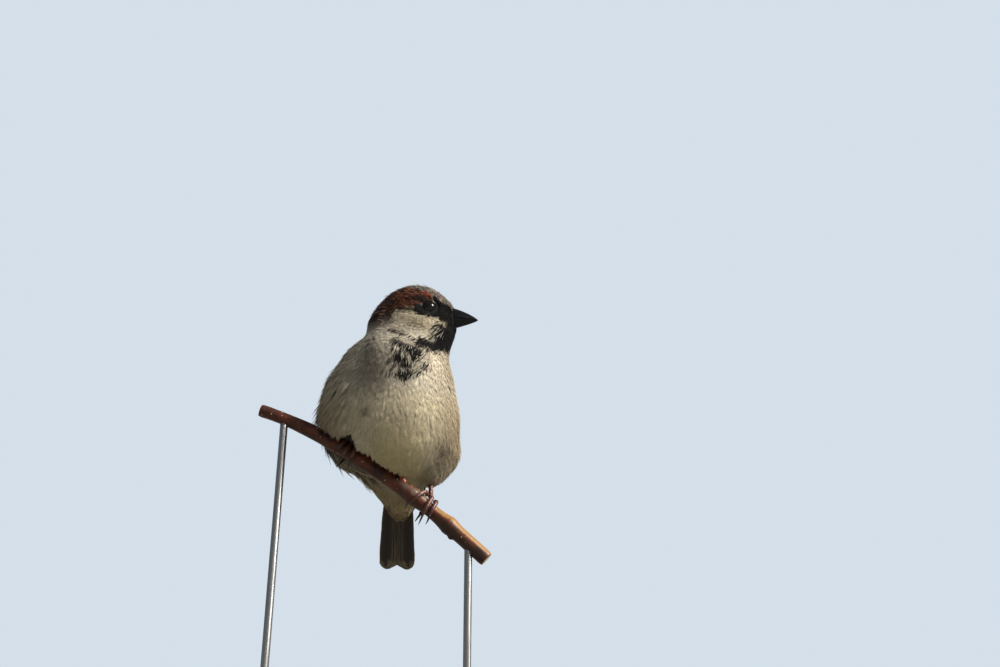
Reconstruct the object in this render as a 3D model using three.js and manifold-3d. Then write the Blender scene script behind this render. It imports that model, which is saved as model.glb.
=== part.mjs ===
// An adult male house sparrow, life size, perched on a short cut length of twig.
// Two rods hold the twig over a round base, as on a museum stand.
// Units are millimetres. +Z is up, the bird's breast faces -Y and its left side is towards +X.
// The origin is the middle of the base's underside.
import * as THREE from "three";
import { mergeVertices } from "three/addons/utils/BufferGeometryUtils.js";
import Module from "manifold-3d";

const wasm = await Module();
wasm.setup();

// ---------------------------------------------------------------- driving dimensions
const GAP = 0.3; // clearance between solids that meet
const COARSE_GAP = 0.45; // the same round toes and claws, whose clearances have few sides
const PERCH_HEIGHT = 145; // floor to the twig's axis under the bird
const PERCH_FORWARD = 10; // the twig stands this far in front of the base's middle
const BODY = { tilt: 55, yaw: -5, aside: -3.3 }; // tilt is the trunk's axis from level, head end up
const TAIL = {
  root: [1.2, 20, 3], // under the coverts
  length: 51.5,
  rootWidth: 12,
  tipWidth: 15.2,
  notch: 1.6, // how much shorter the middle feathers are
  thickness: 1.7,
  slope: 26, // degrees down from level
  yaw: -1,
};
const HEAD = { centre: [13.9, -7.1, 68.5], yaw: 74, pitchDown: 4 }; // midway between the eyes
const EYE = { radius: 2.9, place: [-0.3, -1.2], showing: 0.5 }; // showing is how far it stands out
const BILL = {
  length: 12.4,
  depth: 8.2,
  width: 7.2,
  base: [7.2, -1.9],
  sunk: 1.5, // how far its root goes into the face
  droop: 0.9,
  mouthDrop: 0.7,
};
const TWIG = { radius: 3.0, left: [-54, 27], elbow: [-14, 15], right: [36, -30.5] }; // X and Z
// Feet: along the twig from under the bird, how far the leg leans back, how far the middle toe swings.
const FEET = {
  right: { along: -22.2, back: 8, swing: -0.3 },
  left: { along: 14.6, back: 7, swing: 2.4 },
};
const ROD = { radius: 1.5, along: [-51, 37] };
const BASE = { radius: 60, height: 10, edge: 2 };

const rad = THREE.MathUtils.degToRad;
const vec = (x, y, z) => new THREE.Vector3(x, y, z);
const X = vec(1, 0, 0);
const Y = vec(0, 1, 0);
const Z = vec(0, 0, 1);
const flat = ([x, z]) => vec(x, 0, z); // a point of the twig's own plane

// ---------------------------------------------------------------- solids from geometry
// A geometry's closed surface as a solid that can be joined and cut.
function solid(geometry) {
  const bare = geometry.index ? geometry.toNonIndexed() : geometry.clone();
  for (const name of Object.keys(bare.attributes))
    if (name !== "position") bare.deleteAttribute(name);
  const merged = mergeVertices(bare, 1e-4);
  return new wasm.Manifold(
    new wasm.Mesh({
      numProp: 3,
      vertProperties: merged.attributes.position.array,
      triVerts: new Uint32Array(merged.index.array),
    }),
  );
}

// The largest body of a solid as a geometry.
function geometryOf(made) {
  const bodies = made.decompose().sort((a, b) => b.volume() - a.volume());
  const { vertProperties, triVerts, numProp, numVert } = bodies[0].getMesh();
  const positions = new Float32Array(numVert * 3);
  for (let i = 0; i < numVert; i++)
    positions.set(vertProperties.subarray(i * numProp, i * numProp + 3), i * 3);
  return new THREE.BufferGeometry()
    .setAttribute("position", new THREE.BufferAttribute(positions, 3))
    .setIndex(new THREE.BufferAttribute(triVerts, 1));
}

// Everything on the side of a plane that its normal points to.
function halfSpace(point, normal) {
  const size = 400;
  const turn = new THREE.Quaternion().setFromUnitVectors(Z, normal.clone().normalize());
  const box = new THREE.BoxGeometry(size, size, size).translate(0, 0, size / 2);
  return solid(box.applyQuaternion(turn).translate(point.x, point.y, point.z));
}

// A solid parted by a plane: what lies above it or below it, half a gap clear.
const above = (made, point, normal) => made.intersect(halfSpace(offPlane(point, normal, GAP / 2), normal));
function below(made, point, normal) {
  return made.intersect(halfSpace(offPlane(point, normal, -GAP / 2), normal.clone().negate()));
}
const offPlane = (point, normal, off) => point.clone().addScaledVector(normal, off);

// Moves a geometry that was made round +Y onto a curve: its Y runs along the curve's length.
// side is a direction that its X keeps close to.
function bendAlong(geometry, curve, side) {
  const position = geometry.attributes.position;
  const length = curve.getLength();
  for (let i = 0; i < position.count; i++) {
    const share = position.getY(i) / length;
    const u = THREE.MathUtils.clamp(share, 0, 1);
    const at = curve.getPointAt(u);
    const tangent = curve.getTangentAt(u);
    const across = side.clone().addScaledVector(tangent, -side.dot(tangent)).normalize();
    const other = tangent.clone().cross(across);
    at.addScaledVector(across, position.getX(i));
    at.addScaledVector(other, -position.getZ(i));
    at.addScaledVector(tangent, (share - u) * length);
    position.setXYZ(i, at.x, at.y, at.z);
  }
  return geometry;
}

// A round tapering body of a given length, as a lathe profile closed at both ends.
// radiusAt takes a share of the length and gives the radius there.
function tapered(length, radiusAt, steps, sides) {
  const profile = [new THREE.Vector2(0, 0)];
  for (let i = 0; i <= steps; i++) {
    const share = i / steps;
    profile.push(new THREE.Vector2(radiusAt(share), share * length));
  }
  profile.push(new THREE.Vector2(0, length));
  return new THREE.LatheGeometry(profile, sides);
}

// ---------------------------------------------------------------- flesh and feather as blended lobes
// A lobe is an ellipsoid: its centre, its radii along its own axes, and its turn.
const lobe = (centre, radii, turn = new THREE.Quaternion()) => ({
  centre: vec(...centre),
  radii: vec(...radii),
  back: turn.clone().invert(),
});
const tilted = (degrees) => new THREE.Quaternion().setFromAxisAngle(X, rad(degrees));

function lobeDistance({ centre, radii, back }, point) {
  const p = point.clone().sub(centre).applyQuaternion(back);
  const near = p.clone().divide(radii).length();
  const slope = p.clone().divide(radii).divide(radii).length();
  return slope > 1e-9 ? (near * (near - 1)) / slope : -Math.min(radii.x, radii.y, radii.z);
}

function smoothUnion(a, b, blend) {
  const h = Math.max(blend - Math.abs(a - b), 0) / blend;
  return Math.min(a, b) - (h * h * blend) / 4;
}

// A field is negative inside. Its lobes run into each other over the blend length.
const field = (lobes, blend) => (point) =>
  lobes.map((l) => lobeDistance(l, point)).reduce((a, b) => smoothUnion(a, b, blend));

// Distance from a centre to the field's surface in a direction, plus how far it stands off.
function reach(inside, centre, direction, level) {
  const farthest = 110;
  const step = 0.8;
  const at = (t) => inside(centre.clone().addScaledVector(direction, t)) - level;
  let low = 0;
  while (low < farthest && at(low + step) < 0) low += step;
  let high = low + step;
  for (let i = 0; i < 14; i++) {
    const middle = (low + high) / 2;
    if (at(middle) < 0) low = middle;
    else high = middle;
  }
  return low;
}

// A sphere's vertices moved out from a centre to a field's surface. stretch spreads them over a long shape.
function wrap(inside, centre, { turn, stretch, around, along, level = 0 }) {
  const geometry = new THREE.SphereGeometry(1, around, along).rotateX(Math.PI / 2);
  const position = geometry.attributes.position;
  for (let i = 0; i < position.count; i++) {
    const direction = vec(position.getX(i), position.getY(i), position.getZ(i));
    direction.multiply(stretch).applyQuaternion(turn).normalize();
    const at = centre.clone().addScaledVector(direction, reach(inside, centre, direction, level));
    position.setXYZ(i, at.x, at.y, at.z);
  }
  return geometry;
}

// ---------------------------------------------------------------- frames of the head, wings and tail
// The head looks to the bird's left. Its own axes are forward, left and up.
const headForward = vec(
  Math.sin(rad(HEAD.yaw)) * Math.cos(rad(HEAD.pitchDown)),
  -Math.cos(rad(HEAD.yaw)) * Math.cos(rad(HEAD.pitchDown)),
  -Math.sin(rad(HEAD.pitchDown)),
);
const headLeft = Z.clone().cross(headForward).normalize();
const headUp = headForward.clone().cross(headLeft);
const headTurn = new THREE.Quaternion().setFromRotationMatrix(
  new THREE.Matrix4().makeBasis(headForward, headLeft, headUp),
);
const headPoint = (x, y, z) => vec(x, y, z).applyQuaternion(headTurn).add(vec(...HEAD.centre));
const headLobe = (centre, radii) => lobe(headPoint(...centre).toArray(), radii, headTurn);

// The trunk, wings and tail share a midline that is turned a little from the Y axis.
const bodyTurn = new THREE.Quaternion().setFromAxisAngle(Z, rad(BODY.yaw));
const bodyPoint = (x, y, z) => vec(x, y, z).applyQuaternion(bodyTurn).add(vec(BODY.aside, 0, 0));
const bodyLobe = (centre, radii, tilt) =>
  lobe(bodyPoint(...centre).toArray(), radii, bodyTurn.clone().multiply(tilted(tilt)));

// The tail's own axes: X across, Y along it to the tip, Z its upper face's normal.
const tailTurn = new THREE.Quaternion().setFromAxisAngle(Z, rad(TAIL.yaw)).multiply(tilted(-TAIL.slope));
const tailPoint = (x, y, z) => vec(x, y, z).applyQuaternion(tailTurn).add(vec(...TAIL.root));
const tailLobe = (centre, radii) => lobe(tailPoint(...centre).toArray(), radii, tailTurn);

// ---------------------------------------------------------------- the body's lobes
const lean = 90 - BODY.tilt;
const TRUNK_LOBES = [
  bodyLobe([0.6, -3.5, 40], [24.1, 21, 21.5], lean), // breast
  bodyLobe([0, 0.5, 24.5], [28, 24, 25], lean), // belly
  bodyLobe([0, 9, 36], [19, 17, 26], lean), // back
  bodyLobe([1, 16, 12], [14, 12, 20], 58), // vent and rump
  tailLobe([0, 3, -2], [6.2, 16, 5]), // under-tail coverts
  tailLobe([0, 2, 2], [6, 14, 4]), // upper-tail coverts
  lobe([15.5, 8, 12.3], [10, 10, 11]), // left flank, drawn down over the lower leg
  lobe([2.9, -3, 56.5], [15.8, 14.2, 13]), // neck
];
const HEAD_LOBES = [
  headLobe([-8.5, 0, -0.4], [14.5, 11.8, 12.6]), // crown
  headLobe([-15.5, 0, -7.5], [11.5, 11, 11.5]), // nape
  headLobe([2, 0, -2.5], [6.8, 6.4, 6.4]), // face in front of the eyes
  headLobe([-5, 0, -6.5], [11.5, 12.3, 8]), // cheeks
  headLobe([-3.4, 0, -12], [8.8, 9, 8]), // throat
];
const bodyField = field([...TRUNK_LOBES, ...HEAD_LOBES], 6);

// The belly rests on the twig and doesn't hang in front of it: a wedge is cut from it, whose
// floor lies on the twig and falls a little forwards, and whose wall stands behind the twig.
const SHELF = { through: [-20, 13], slope: 32, above: 3.3, fall: 17, wall: 2.6 };
function shelfSolid() {
  const up = vec(Math.sin(rad(SHELF.slope)), 0, Math.cos(rad(SHELF.slope)));
  const onFloor = flat(SHELF.through).addScaledVector(up, SHELF.above);
  const fall = rad(SHELF.fall);
  const normal = up.multiplyScalar(Math.cos(fall)).addScaledVector(Y, -Math.sin(fall));
  const inFront = halfSpace(vec(0, SHELF.wall, 0), Y.clone().negate());
  return halfSpace(onFloor, normal.negate()).intersect(inFront);
}

// ---------------------------------------------------------------- the twig
// Its axis bends in the XZ plane, steeper to the bird's left. along is measured from under the bird.
const twigCurve = new THREE.QuadraticBezierCurve3(flat(TWIG.left), flat(TWIG.elbow), flat(TWIG.right));
const twigLength = twigCurve.getLength();
function shareUnderBird() {
  let low = 0;
  let high = 1;
  while (high - low > 1e-5) {
    const middle = (low + high) / 2;
    if (twigCurve.getPointAt(middle).x < 0) low = middle;
    else high = middle;
  }
  return low;
}
const underBird = shareUnderBird() * twigLength;
const twigAxis = (along) => twigCurve.getPointAt((underBird + along) / twigLength);
const twigTangent = (along) => twigCurve.getTangentAt((underBird + along) / twigLength);

// The twig is thin at its young end and swells where leaves were.
const SWELLINGS = [
  { along: -54, more: -0.6, spread: 14 },
  { along: -30, more: 0.2, spread: 2 },
  { along: -14, more: 0.25, spread: 9 },
  { along: 9, more: 0.5, spread: 3.6 },
  { along: 18, more: -0.35, spread: 5 },
  { along: 27, more: 0.5, spread: 3 },
];
const twigRadius = (along) =>
  SWELLINGS.reduce(
    (sum, swelling) => sum + swelling.more * Math.exp(-(((along - swelling.along) / swelling.spread) ** 2)),
    TWIG.radius,
  );
function twigGeometry(extra) {
  const radiusAt = (share) => twigRadius(share * twigLength - underBird) + extra;
  return bendAlong(tapered(twigLength, radiusAt, 32, 9), twigCurve, Y);
}
const BUD = { along: 5.6, length: 3.6, radius: 1.15, aim: vec(-0.35, -0.35, 0.87).normalize(), sunk: 1 };
function budGeometry() {
  const rootPhase = 0.25; // the bud is narrower at its root than at its middle
  const endPhase = 0.97;
  const radiusAt = (share) =>
    BUD.radius * Math.sin(Math.PI * Math.min(endPhase, rootPhase + (1 - rootPhase) * share)) ** 0.8;
  const root = twigAxis(BUD.along).addScaledVector(BUD.aim, TWIG.radius - BUD.sunk);
  return tapered(BUD.length, radiusAt, 6, 8)
    .applyQuaternion(new THREE.Quaternion().setFromUnitVectors(Y, BUD.aim))
    .translate(...root.toArray());
}
const twig = solid(twigGeometry(0)).add(solid(budGeometry()));
const twigRoom = solid(twigGeometry(GAP));

// ---------------------------------------------------------------- the feet
// A foot's own place on the twig: angle 0 is the twig's top, 90 its front, and across runs along the twig.
function onTwig(along, angle, out) {
  const tangent = twigTangent(along);
  const up = Z.clone().addScaledVector(tangent, -tangent.z).normalize();
  const a = rad(angle);
  const from = twigRadius(along) + out;
  return twigAxis(along).addScaledVector(up, Math.cos(a) * from).addScaledVector(Y, -Math.sin(a) * from);
}
// Each toe's places along the twig from the foot's middle, at its root and its end, and its angles round
// the twig. hang is how far the end stands off the bark, thick its radius and claw the claw's length.
const TOES = {
  inner: { spread: [-1.9, -4.2], angles: [-12, 30, 70, 104], hang: 0.15, thick: 0.9, claw: 4 },
  middle: { spread: [0, 0], angles: [-12, 36, 84, 118], hang: 2.2, thick: 1, claw: 4.6 },
  outer: { spread: [2.1, 4.5], angles: [-12, 30, 72, 104], hang: 0.15, thick: 0.9, claw: 4 },
  hind: { spread: [0, 0.6], angles: [-48, -80, -112, -138], hang: 0.15, thick: 1.05, claw: 5.4 },
};
const TOE_LIFT = 1.3; // the toe's axis above the bark
const PAD = { taper: 0.22, swell: 0.1, joints: 3 };
const CLAW = { radius: 0.52, tipRadius: 0.1, arch: 0.55, drop: 0.5 };
const TARSUS = { length: 17, radius: 1, ankle: 0.28, knee: 0.35 };

// inward is -1 where the bird's midline lies towards the twig's low end.
function toeCurve(foot, toe) {
  const inward = foot.along > 0 ? 1 : -1;
  const swing = toe === TOES.middle ? foot.swing : 0;
  const last = toe.angles.length - 1;
  const points = toe.angles.map((angle, i) => {
    const share = i / last;
    const across = inward * THREE.MathUtils.lerp(toe.spread[0], toe.spread[1], share ** 0.8);
    return onTwig(foot.along + across + swing * share, angle, TOE_LIFT + toe.hang * share ** 3);
  });
  return new THREE.CatmullRomCurve3(points);
}

// Pads swell between a toe's joints, and both ends are rounded.
const toeRadius = (toe, extra) => (share) => {
  const pads = 1 + PAD.swell * Math.cos(share * PAD.joints * 2 * Math.PI);
  const ends = Math.min(1, 0.72 + share * 4, 0.55 + (1 - share) * 4);
  return toe.thick * (1 - PAD.taper * share) * pads * ends + extra;
};
function toeSolid(foot, toe, extra = 0) {
  const curve = toeCurve(foot, toe);
  const [steps, sides] = extra ? [5, 6] : [6, 7];
  return solid(bendAlong(tapered(curve.getLength(), toeRadius(toe, extra), steps, sides), curve, X));
}
function clawSolid(foot, toe, extra = 0) {
  const curve = toeCurve(foot, toe);
  const tip = curve.getPointAt(1);
  const ahead = curve.getTangentAt(1);
  const outward = tip.clone().sub(twigAxis(foot.along)).normalize();
  const start = tip.clone().addScaledVector(ahead, GAP);
  const middle = start.clone().addScaledVector(ahead, toe.claw * 0.5).addScaledVector(outward, CLAW.arch);
  const end = start.clone().addScaledVector(ahead, toe.claw * 0.86).addScaledVector(Z, -CLAW.drop);
  const along = new THREE.CatmullRomCurve3([start, middle, end]);
  const radiusAt = (share) => CLAW.radius * (1 - share) ** 0.7 + CLAW.tipRadius + extra;
  return solid(bendAlong(tapered(along.getLength(), radiusAt, 4, 6), along, X)).subtract(twigRoom);
}

// The tarsus rises from behind the toes' roots, up and back into the feathers.
function tarsusSolid(foot, extra = 0) {
  const ball = onTwig(foot.along, -30, 1.85);
  const curve = new THREE.CatmullRomCurve3([
    ball,
    ball.clone().add(vec(0, foot.back * 0.35, TARSUS.length * 0.35)),
    ball.clone().add(vec(0, foot.back, TARSUS.length)),
  ]);
  const radiusAt = (share) =>
    TARSUS.radius + TARSUS.ankle * (1 - share) ** 6 + TARSUS.knee * share ** 5 + extra;
  return solid(bendAlong(tapered(curve.getLength(), radiusAt, 6, 8), curve, X));
}

// The belly's feathers part round the ball of the foot.
const HOLLOW = { radii: [3.6, 6.5, 5.5], angle: -38, out: 3.5 };
function hollow(foot) {
  const round = new THREE.SphereGeometry(1, 14, 10).scale(...HOLLOW.radii);
  return solid(round.translate(...onTwig(foot.along, HOLLOW.angle, HOLLOW.out).toArray()));
}

// ---------------------------------------------------------------- wings and tail
// side is 1 for the bird's left and -1 for its right. The coverts and secondaries lie on the body: each
// is found by going outwards from a place inside, and its coat follows the body's own surface. The
// primaries come out from under them and reach past the body. Radii: out, half width, half length.
const WING = { thickness: 2.2, blend: 6, edge: 1.5, deep: 6 }; // deep is where its wrap starts from
const WING_ON_BODY = {
  coverts: {
    inside: [0, 6, 32],
    outward: [1, 0.15, 0.05],
    aim: [0, 0.64, -0.77],
    radii: [10, 12, 15.5],
  },
  secondaries: {
    inside: [0, 14, 24],
    outward: [1, 0.38, 0.1],
    aim: [-0.1, 0.66, -0.74],
    radii: [10, 13, 20],
  },
};
const PRIMARIES = {
  centre: [10, 29, 12],
  outward: [0.85, 0.45, 0.3],
  aim: [-0.34, 0.69, -0.62],
  radii: [2.4, 6.5, 21],
};
const WING_DROOP = { left: 3, right: -2 }; // how much lower the primaries hang

// A turn whose X is outward and whose Z is along, in the body's own frame.
function pieceTurn(along, outward) {
  const out = outward.clone().addScaledVector(along, -outward.dot(along)).normalize();
  const axes = new THREE.Matrix4().makeBasis(out, along.clone().cross(out), along);
  return bodyTurn.clone().multiply(new THREE.Quaternion().setFromRotationMatrix(axes));
}

function wingSolid(side) {
  const mirrored = ([x, y, z]) => vec(x * side, y, z);
  const onBody = Object.values(WING_ON_BODY).map(({ inside, outward, aim, radii }) => {
    const from = bodyPoint(...inside);
    const direction = mirrored(outward).applyQuaternion(bodyTurn).normalize();
    const at = from.clone().addScaledVector(direction, reach(bodyField, from, direction, 0));
    return lobe(at.toArray(), radii, pieceTurn(mirrored(aim).normalize(), mirrored(outward)));
  });
  const onBodyField = field(onBody, WING.blend);
  const coat = (point) => bodyField(point) - WING.thickness;
  const covering = (point) => -smoothUnion(-onBodyField(point), -coat(point), WING.edge);
  const { aim: lengthwise, outward: across } = WING_ON_BODY.secondaries;
  const middle = onBody[0].centre.clone().lerp(onBody[1].centre, 0.5);
  middle.addScaledVector(mirrored(across).applyQuaternion(bodyTurn).normalize(), -WING.deep);
  const turn = pieceTurn(mirrored(lengthwise).normalize(), mirrored(across));
  const upper = solid(wrap(covering, middle, { turn, stretch: vec(9, 14, 20), around: 24, along: 16 }));

  const { centre, outward, aim, radii } = PRIMARIES;
  const droop = WING_DROOP[side > 0 ? "left" : "right"];
  const fold = new THREE.SphereGeometry(1, 14, 12)
    .rotateX(Math.PI / 2)
    .scale(...radii)
    .applyQuaternion(pieceTurn(mirrored(aim).normalize(), mirrored(outward)))
    .translate(...bodyPoint(centre[0] * side, centre[1], centre[2] - droop).toArray());
  return upper.add(solid(fold));
}

const THIGHS = {
  left: { centre: [14.2, 6, 8], radii: [6.2, 7, 8.5] },
  right: { centre: [-18, 9.5, 15], radii: [5.8, 6.5, 8] },
};
function thighSolid({ centre, radii }, extra = 0) {
  const round = new THREE.SphereGeometry(1, 12, 8).scale(...radii.map((radius) => radius + extra));
  return solid(round.translate(...centre));
}

// A plate whose feathers end in two rounded lobes and whose sides lie lower than its middle.
function tailGeometry() {
  const camber = 0.022;
  const cornerDrop = 3;
  const plate = new THREE.BoxGeometry(2, 1, TAIL.thickness, 8, 5, 1).translate(0, 0.5, 0);
  const position = plate.attributes.position;
  for (let i = 0; i < position.count; i++) {
    const across = position.getX(i);
    const share = position.getY(i);
    const x = (across * THREE.MathUtils.lerp(TAIL.rootWidth, TAIL.tipWidth, share)) / 2;
    const end = TAIL.length - TAIL.notch * (1 - Math.abs(across)) ** 2 - cornerDrop * across ** 8;
    position.setXYZ(i, x, share * end, position.getZ(i) - camber * x * x);
  }
  return plate.applyQuaternion(tailTurn).translate(...TAIL.root);
}

// ---------------------------------------------------------------- the bill
// A cone with a humped ridge, parted along the mouth line. Its own axes are the head's.
function billGeometry(extra) {
  const length = BILL.length + extra;
  const shape = (share) => (1 - share ** 1.5) ** 0.8 * (1 - 0.15 * share) + 0.015;
  const made = tapered(length, shape, 8, 16);
  const position = made.attributes.position;
  for (let i = 0; i < position.count; i++) {
    const share = position.getY(i) / length;
    const across = position.getX(i) * (BILL.width / 2 + extra);
    const upright = position.getZ(i) * (BILL.depth / 2 + extra);
    const droop = -BILL.droop * share ** 2;
    const ahead = BILL.base[0] - BILL.sunk + position.getY(i);
    position.setXYZ(i, ahead, -across, BILL.base[1] + upright + droop);
  }
  return made.applyQuaternion(headTurn).translate(...HEAD.centre);
}
const bill = solid(billGeometry(0));
const billRoom = solid(billGeometry(GAP));
const mouth = headPoint(BILL.base[0] + BILL.length / 2, 0, BILL.base[1] - BILL.mouthDrop);
const mouthUp = vec(0.05, 0, 1).applyQuaternion(headTurn).normalize();

// ---------------------------------------------------------------- the eyes
function eyeCentre(side) {
  const inside = headPoint(EYE.place[0], 0, EYE.place[1]);
  const outward = headLeft.clone().multiplyScalar(side);
  const surface = reach(bodyField, inside, outward, 0);
  return inside.addScaledVector(outward, surface + EYE.showing - EYE.radius);
}
const eyeSphere = (side, extra) =>
  solid(new THREE.SphereGeometry(EYE.radius + extra, 12, 8).translate(...eyeCentre(side).toArray()));

// ---------------------------------------------------------------- putting the bird together
const WRAPS = {
  head: { turn: headTurn, stretch: vec(1.2, 1, 1), around: 28, along: 18 },
  neck: { turn: new THREE.Quaternion(), stretch: vec(1, 1, 1), around: 26, along: 16 },
  trunk: { turn: bodyTurn.clone().multiply(tilted(lean)), stretch: vec(28, 25, 34), around: 30, along: 20 },
};
const headCentre = headPoint(-6, 0, -4);
const neckCentre = vec(2, -2, 57);
const trunkCentre = bodyPoint(0, 3, 32);
const THROAT = { point: vec(3, -3, 60.5), axis: vec(-0.1, 0, 1) }; // parts the head from the neck
const COLLAR = { point: vec(0, -3, 50), axis: vec(0, -0.25, 1) }; // parts the neck from the trunk

const trunkRoom = solid(wrap(bodyField, trunkCentre, { ...WRAPS.trunk, level: GAP }));
const thighRoom = thighSolid(THIGHS.left, GAP).add(thighSolid(THIGHS.right, GAP));
function footRoom(foot) {
  const leg = tarsusSolid(foot, COARSE_GAP).add(hollow(foot));
  return Object.values(TOES).reduce(
    (all, toe) => all.add(toeSolid(foot, toe, COARSE_GAP)).add(clawSolid(foot, toe, COARSE_GAP)),
    leg,
  );
}
const footRooms = { left: footRoom(FEET.left), right: footRoom(FEET.right) };

const head = above(solid(wrap(bodyField, headCentre, WRAPS.head)), THROAT.point, THROAT.axis)
  .subtract(billRoom)
  .subtract(eyeSphere(1, GAP))
  .subtract(eyeSphere(-1, GAP));
const neckAndOver = above(solid(wrap(bodyField, neckCentre, WRAPS.neck)), COLLAR.point, COLLAR.axis);
const neck = below(neckAndOver, THROAT.point, THROAT.axis).subtract(billRoom);
const trunk = below(solid(wrap(bodyField, trunkCentre, WRAPS.trunk)), COLLAR.point, COLLAR.axis)
  .subtract(shelfSolid())
  .subtract(twigRoom)
  .subtract(thighRoom)
  .subtract(footRooms.left)
  .subtract(footRooms.right);

const bird = new THREE.Group();
bird.position.set(0, -PERCH_FORWARD, PERCH_HEIGHT);

const finish = (color, roughness, metalness = 0) =>
  new THREE.MeshStandardMaterial({ color, roughness, metalness });
const MATERIALS = {
  chestnut: finish(0x5b3a26, 0.85),
  breast: finish(0xb3a998, 0.9),
  brown: finish(0x6b5038, 0.85),
  dusky: finish(0x4a4037, 0.8),
  horn: finish(0x1b1a1b, 0.35),
  eye: finish(0x120c09, 0.05),
  leg: finish(0x7a5446, 0.55),
  bark: finish(0x5a3020, 0.6),
  steel: finish(0xb8b8b4, 0.3, 1),
  base: finish(0x2c211a, 0.4),
};
function add(group, name, made, material) {
  const mesh = new THREE.Mesh(geometryOf(made), MATERIALS[material]);
  mesh.name = name;
  group.add(mesh);
}

add(bird, "head", head, "chestnut");
add(bird, "neck", neck, "breast");
add(bird, "trunk", trunk, "breast");
add(bird, "tail", solid(tailGeometry()).subtract(trunkRoom), "dusky");
add(bird, "bill_upper", above(bill, mouth, mouthUp), "horn");
add(bird, "bill_lower", below(bill, mouth, mouthUp), "horn");
for (const [side, sign] of Object.entries({ left: 1, right: -1 })) {
  const foot = FEET[side];
  const thigh = thighSolid(THIGHS[side]).subtract(footRooms[side]).subtract(twigRoom);
  add(bird, `eye_${side}`, eyeSphere(sign, 0), "eye");
  add(bird, `wing_${side}`, wingSolid(sign).subtract(trunkRoom).subtract(thighRoom), "brown");
  add(bird, `thigh_${side}`, thigh, "breast");
  add(bird, `tarsus_${side}`, tarsusSolid(foot), "leg");
  for (const [name, toe] of Object.entries(TOES)) {
    add(bird, `toe_${name}_${side}`, toeSolid(foot, toe), "leg");
    add(bird, `claw_${name}_${side}`, clawSolid(foot, toe), "horn");
  }
}
add(bird, "perch", twig, "bark");

// ---------------------------------------------------------------- the stand
const stand = new THREE.Group();
function baseGeometry() {
  const { radius, height, edge } = BASE;
  const profile = new THREE.Path();
  profile.moveTo(0, 0);
  profile.lineTo(radius - 0.6, 0);
  profile.lineTo(radius, 0.6);
  profile.lineTo(radius, height - edge);
  profile.absarc(radius - edge, height - edge, edge, 0, Math.PI / 2, false);
  profile.lineTo(0, height);
  return new THREE.LatheGeometry(profile.getPoints(2), 36).rotateX(Math.PI / 2);
}
add(stand, "stand_base", solid(baseGeometry()), "base");
ROD.along.forEach((along, i) => {
  const top = twigAxis(along);
  const bottom = BASE.height + GAP;
  const length = PERCH_HEIGHT + top.z - bottom;
  const rod = new THREE.CylinderGeometry(ROD.radius, ROD.radius, length, 16)
    .rotateX(Math.PI / 2)
    .translate(top.x, -PERCH_FORWARD, bottom + length / 2);
  const room = solid(twigGeometry(GAP).translate(0, -PERCH_FORWARD, PERCH_HEIGHT));
  add(stand, `stand_rod_${i ? "left" : "right"}`, solid(rod).subtract(room), "steel");
});

const model = new THREE.Group();
model.add(bird, stand);
export default model;
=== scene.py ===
# %% [markdown]
# # A male house sparrow on its twig
# The finished work is a still, life-size bird such as a museum shows, with a short twig and a plain stand.
# The solids of the bird are already made. Here they get one skin, a coat of about ten thousand small
# feathers, real wings and a tail, a glossy bill, wet eyes, scaled feet and bark.
# Every length below is in millimetres and becomes metres only when a mesh is written.

# %% Load the solids
import math

import bmesh
import bpy
import numpy as np
from mathutils import Matrix, Vector
from mathutils.kdtree import KDTree


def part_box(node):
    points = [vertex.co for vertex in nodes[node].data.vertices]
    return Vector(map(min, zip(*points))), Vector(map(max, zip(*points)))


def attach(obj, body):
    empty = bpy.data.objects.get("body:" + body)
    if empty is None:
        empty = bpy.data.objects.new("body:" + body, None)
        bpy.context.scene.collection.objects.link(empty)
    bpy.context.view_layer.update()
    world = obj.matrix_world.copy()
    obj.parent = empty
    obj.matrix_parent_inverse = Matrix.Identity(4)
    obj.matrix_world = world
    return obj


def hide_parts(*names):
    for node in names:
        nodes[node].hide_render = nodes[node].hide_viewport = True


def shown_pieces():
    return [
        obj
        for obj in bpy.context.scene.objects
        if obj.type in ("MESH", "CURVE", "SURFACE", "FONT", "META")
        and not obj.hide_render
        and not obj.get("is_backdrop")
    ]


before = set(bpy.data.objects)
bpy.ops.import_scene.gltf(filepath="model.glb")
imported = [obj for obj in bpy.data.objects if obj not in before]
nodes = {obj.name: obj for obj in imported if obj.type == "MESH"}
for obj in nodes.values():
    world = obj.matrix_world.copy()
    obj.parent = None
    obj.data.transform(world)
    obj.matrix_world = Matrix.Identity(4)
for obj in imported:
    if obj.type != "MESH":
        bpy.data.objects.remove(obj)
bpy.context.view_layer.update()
MM = 0.001
PERCH = np.array([0.0, -10.0, 145.0])  # the twig's axis under the bird; the bird is measured from here


def in_frame(points):
    return (np.asarray(points, float) + PERCH) * MM


def from_frame(points):
    return np.asarray(points, float) / MM - PERCH


# %% [markdown]
# ## Camera, light and floor
# The bird is seen from below and a little to its right, as a person under a tree sees it.
# One large lamp high on the bird's left models the breast, two wide dim ones open the shadows, and a very
# weak small one puts a catch-light in the eye.
# The lamps are far suns that look wide, which suits feathers, because a small lamp would make every barb cast
# a hard line. The room is pale where the camera sees it but gives little light, so the eyes and the bill stay
# dark and glossy.

# %% Camera, light and floor
scene = bpy.context.scene
camera = bpy.data.objects.new("camera", bpy.data.cameras.new("camera"))
camera.data.lens = 42
camera.data.sensor_width = 36
camera.data.clip_start = 0.01
camera.location = (0, -0.45016, 0.010)
camera.rotation_euler = (math.radians(90 + 24.278), 0, -math.radians(5.338))
scene.collection.objects.link(camera)
scene.camera = camera
scene.view_settings.view_transform = "Standard"


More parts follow.
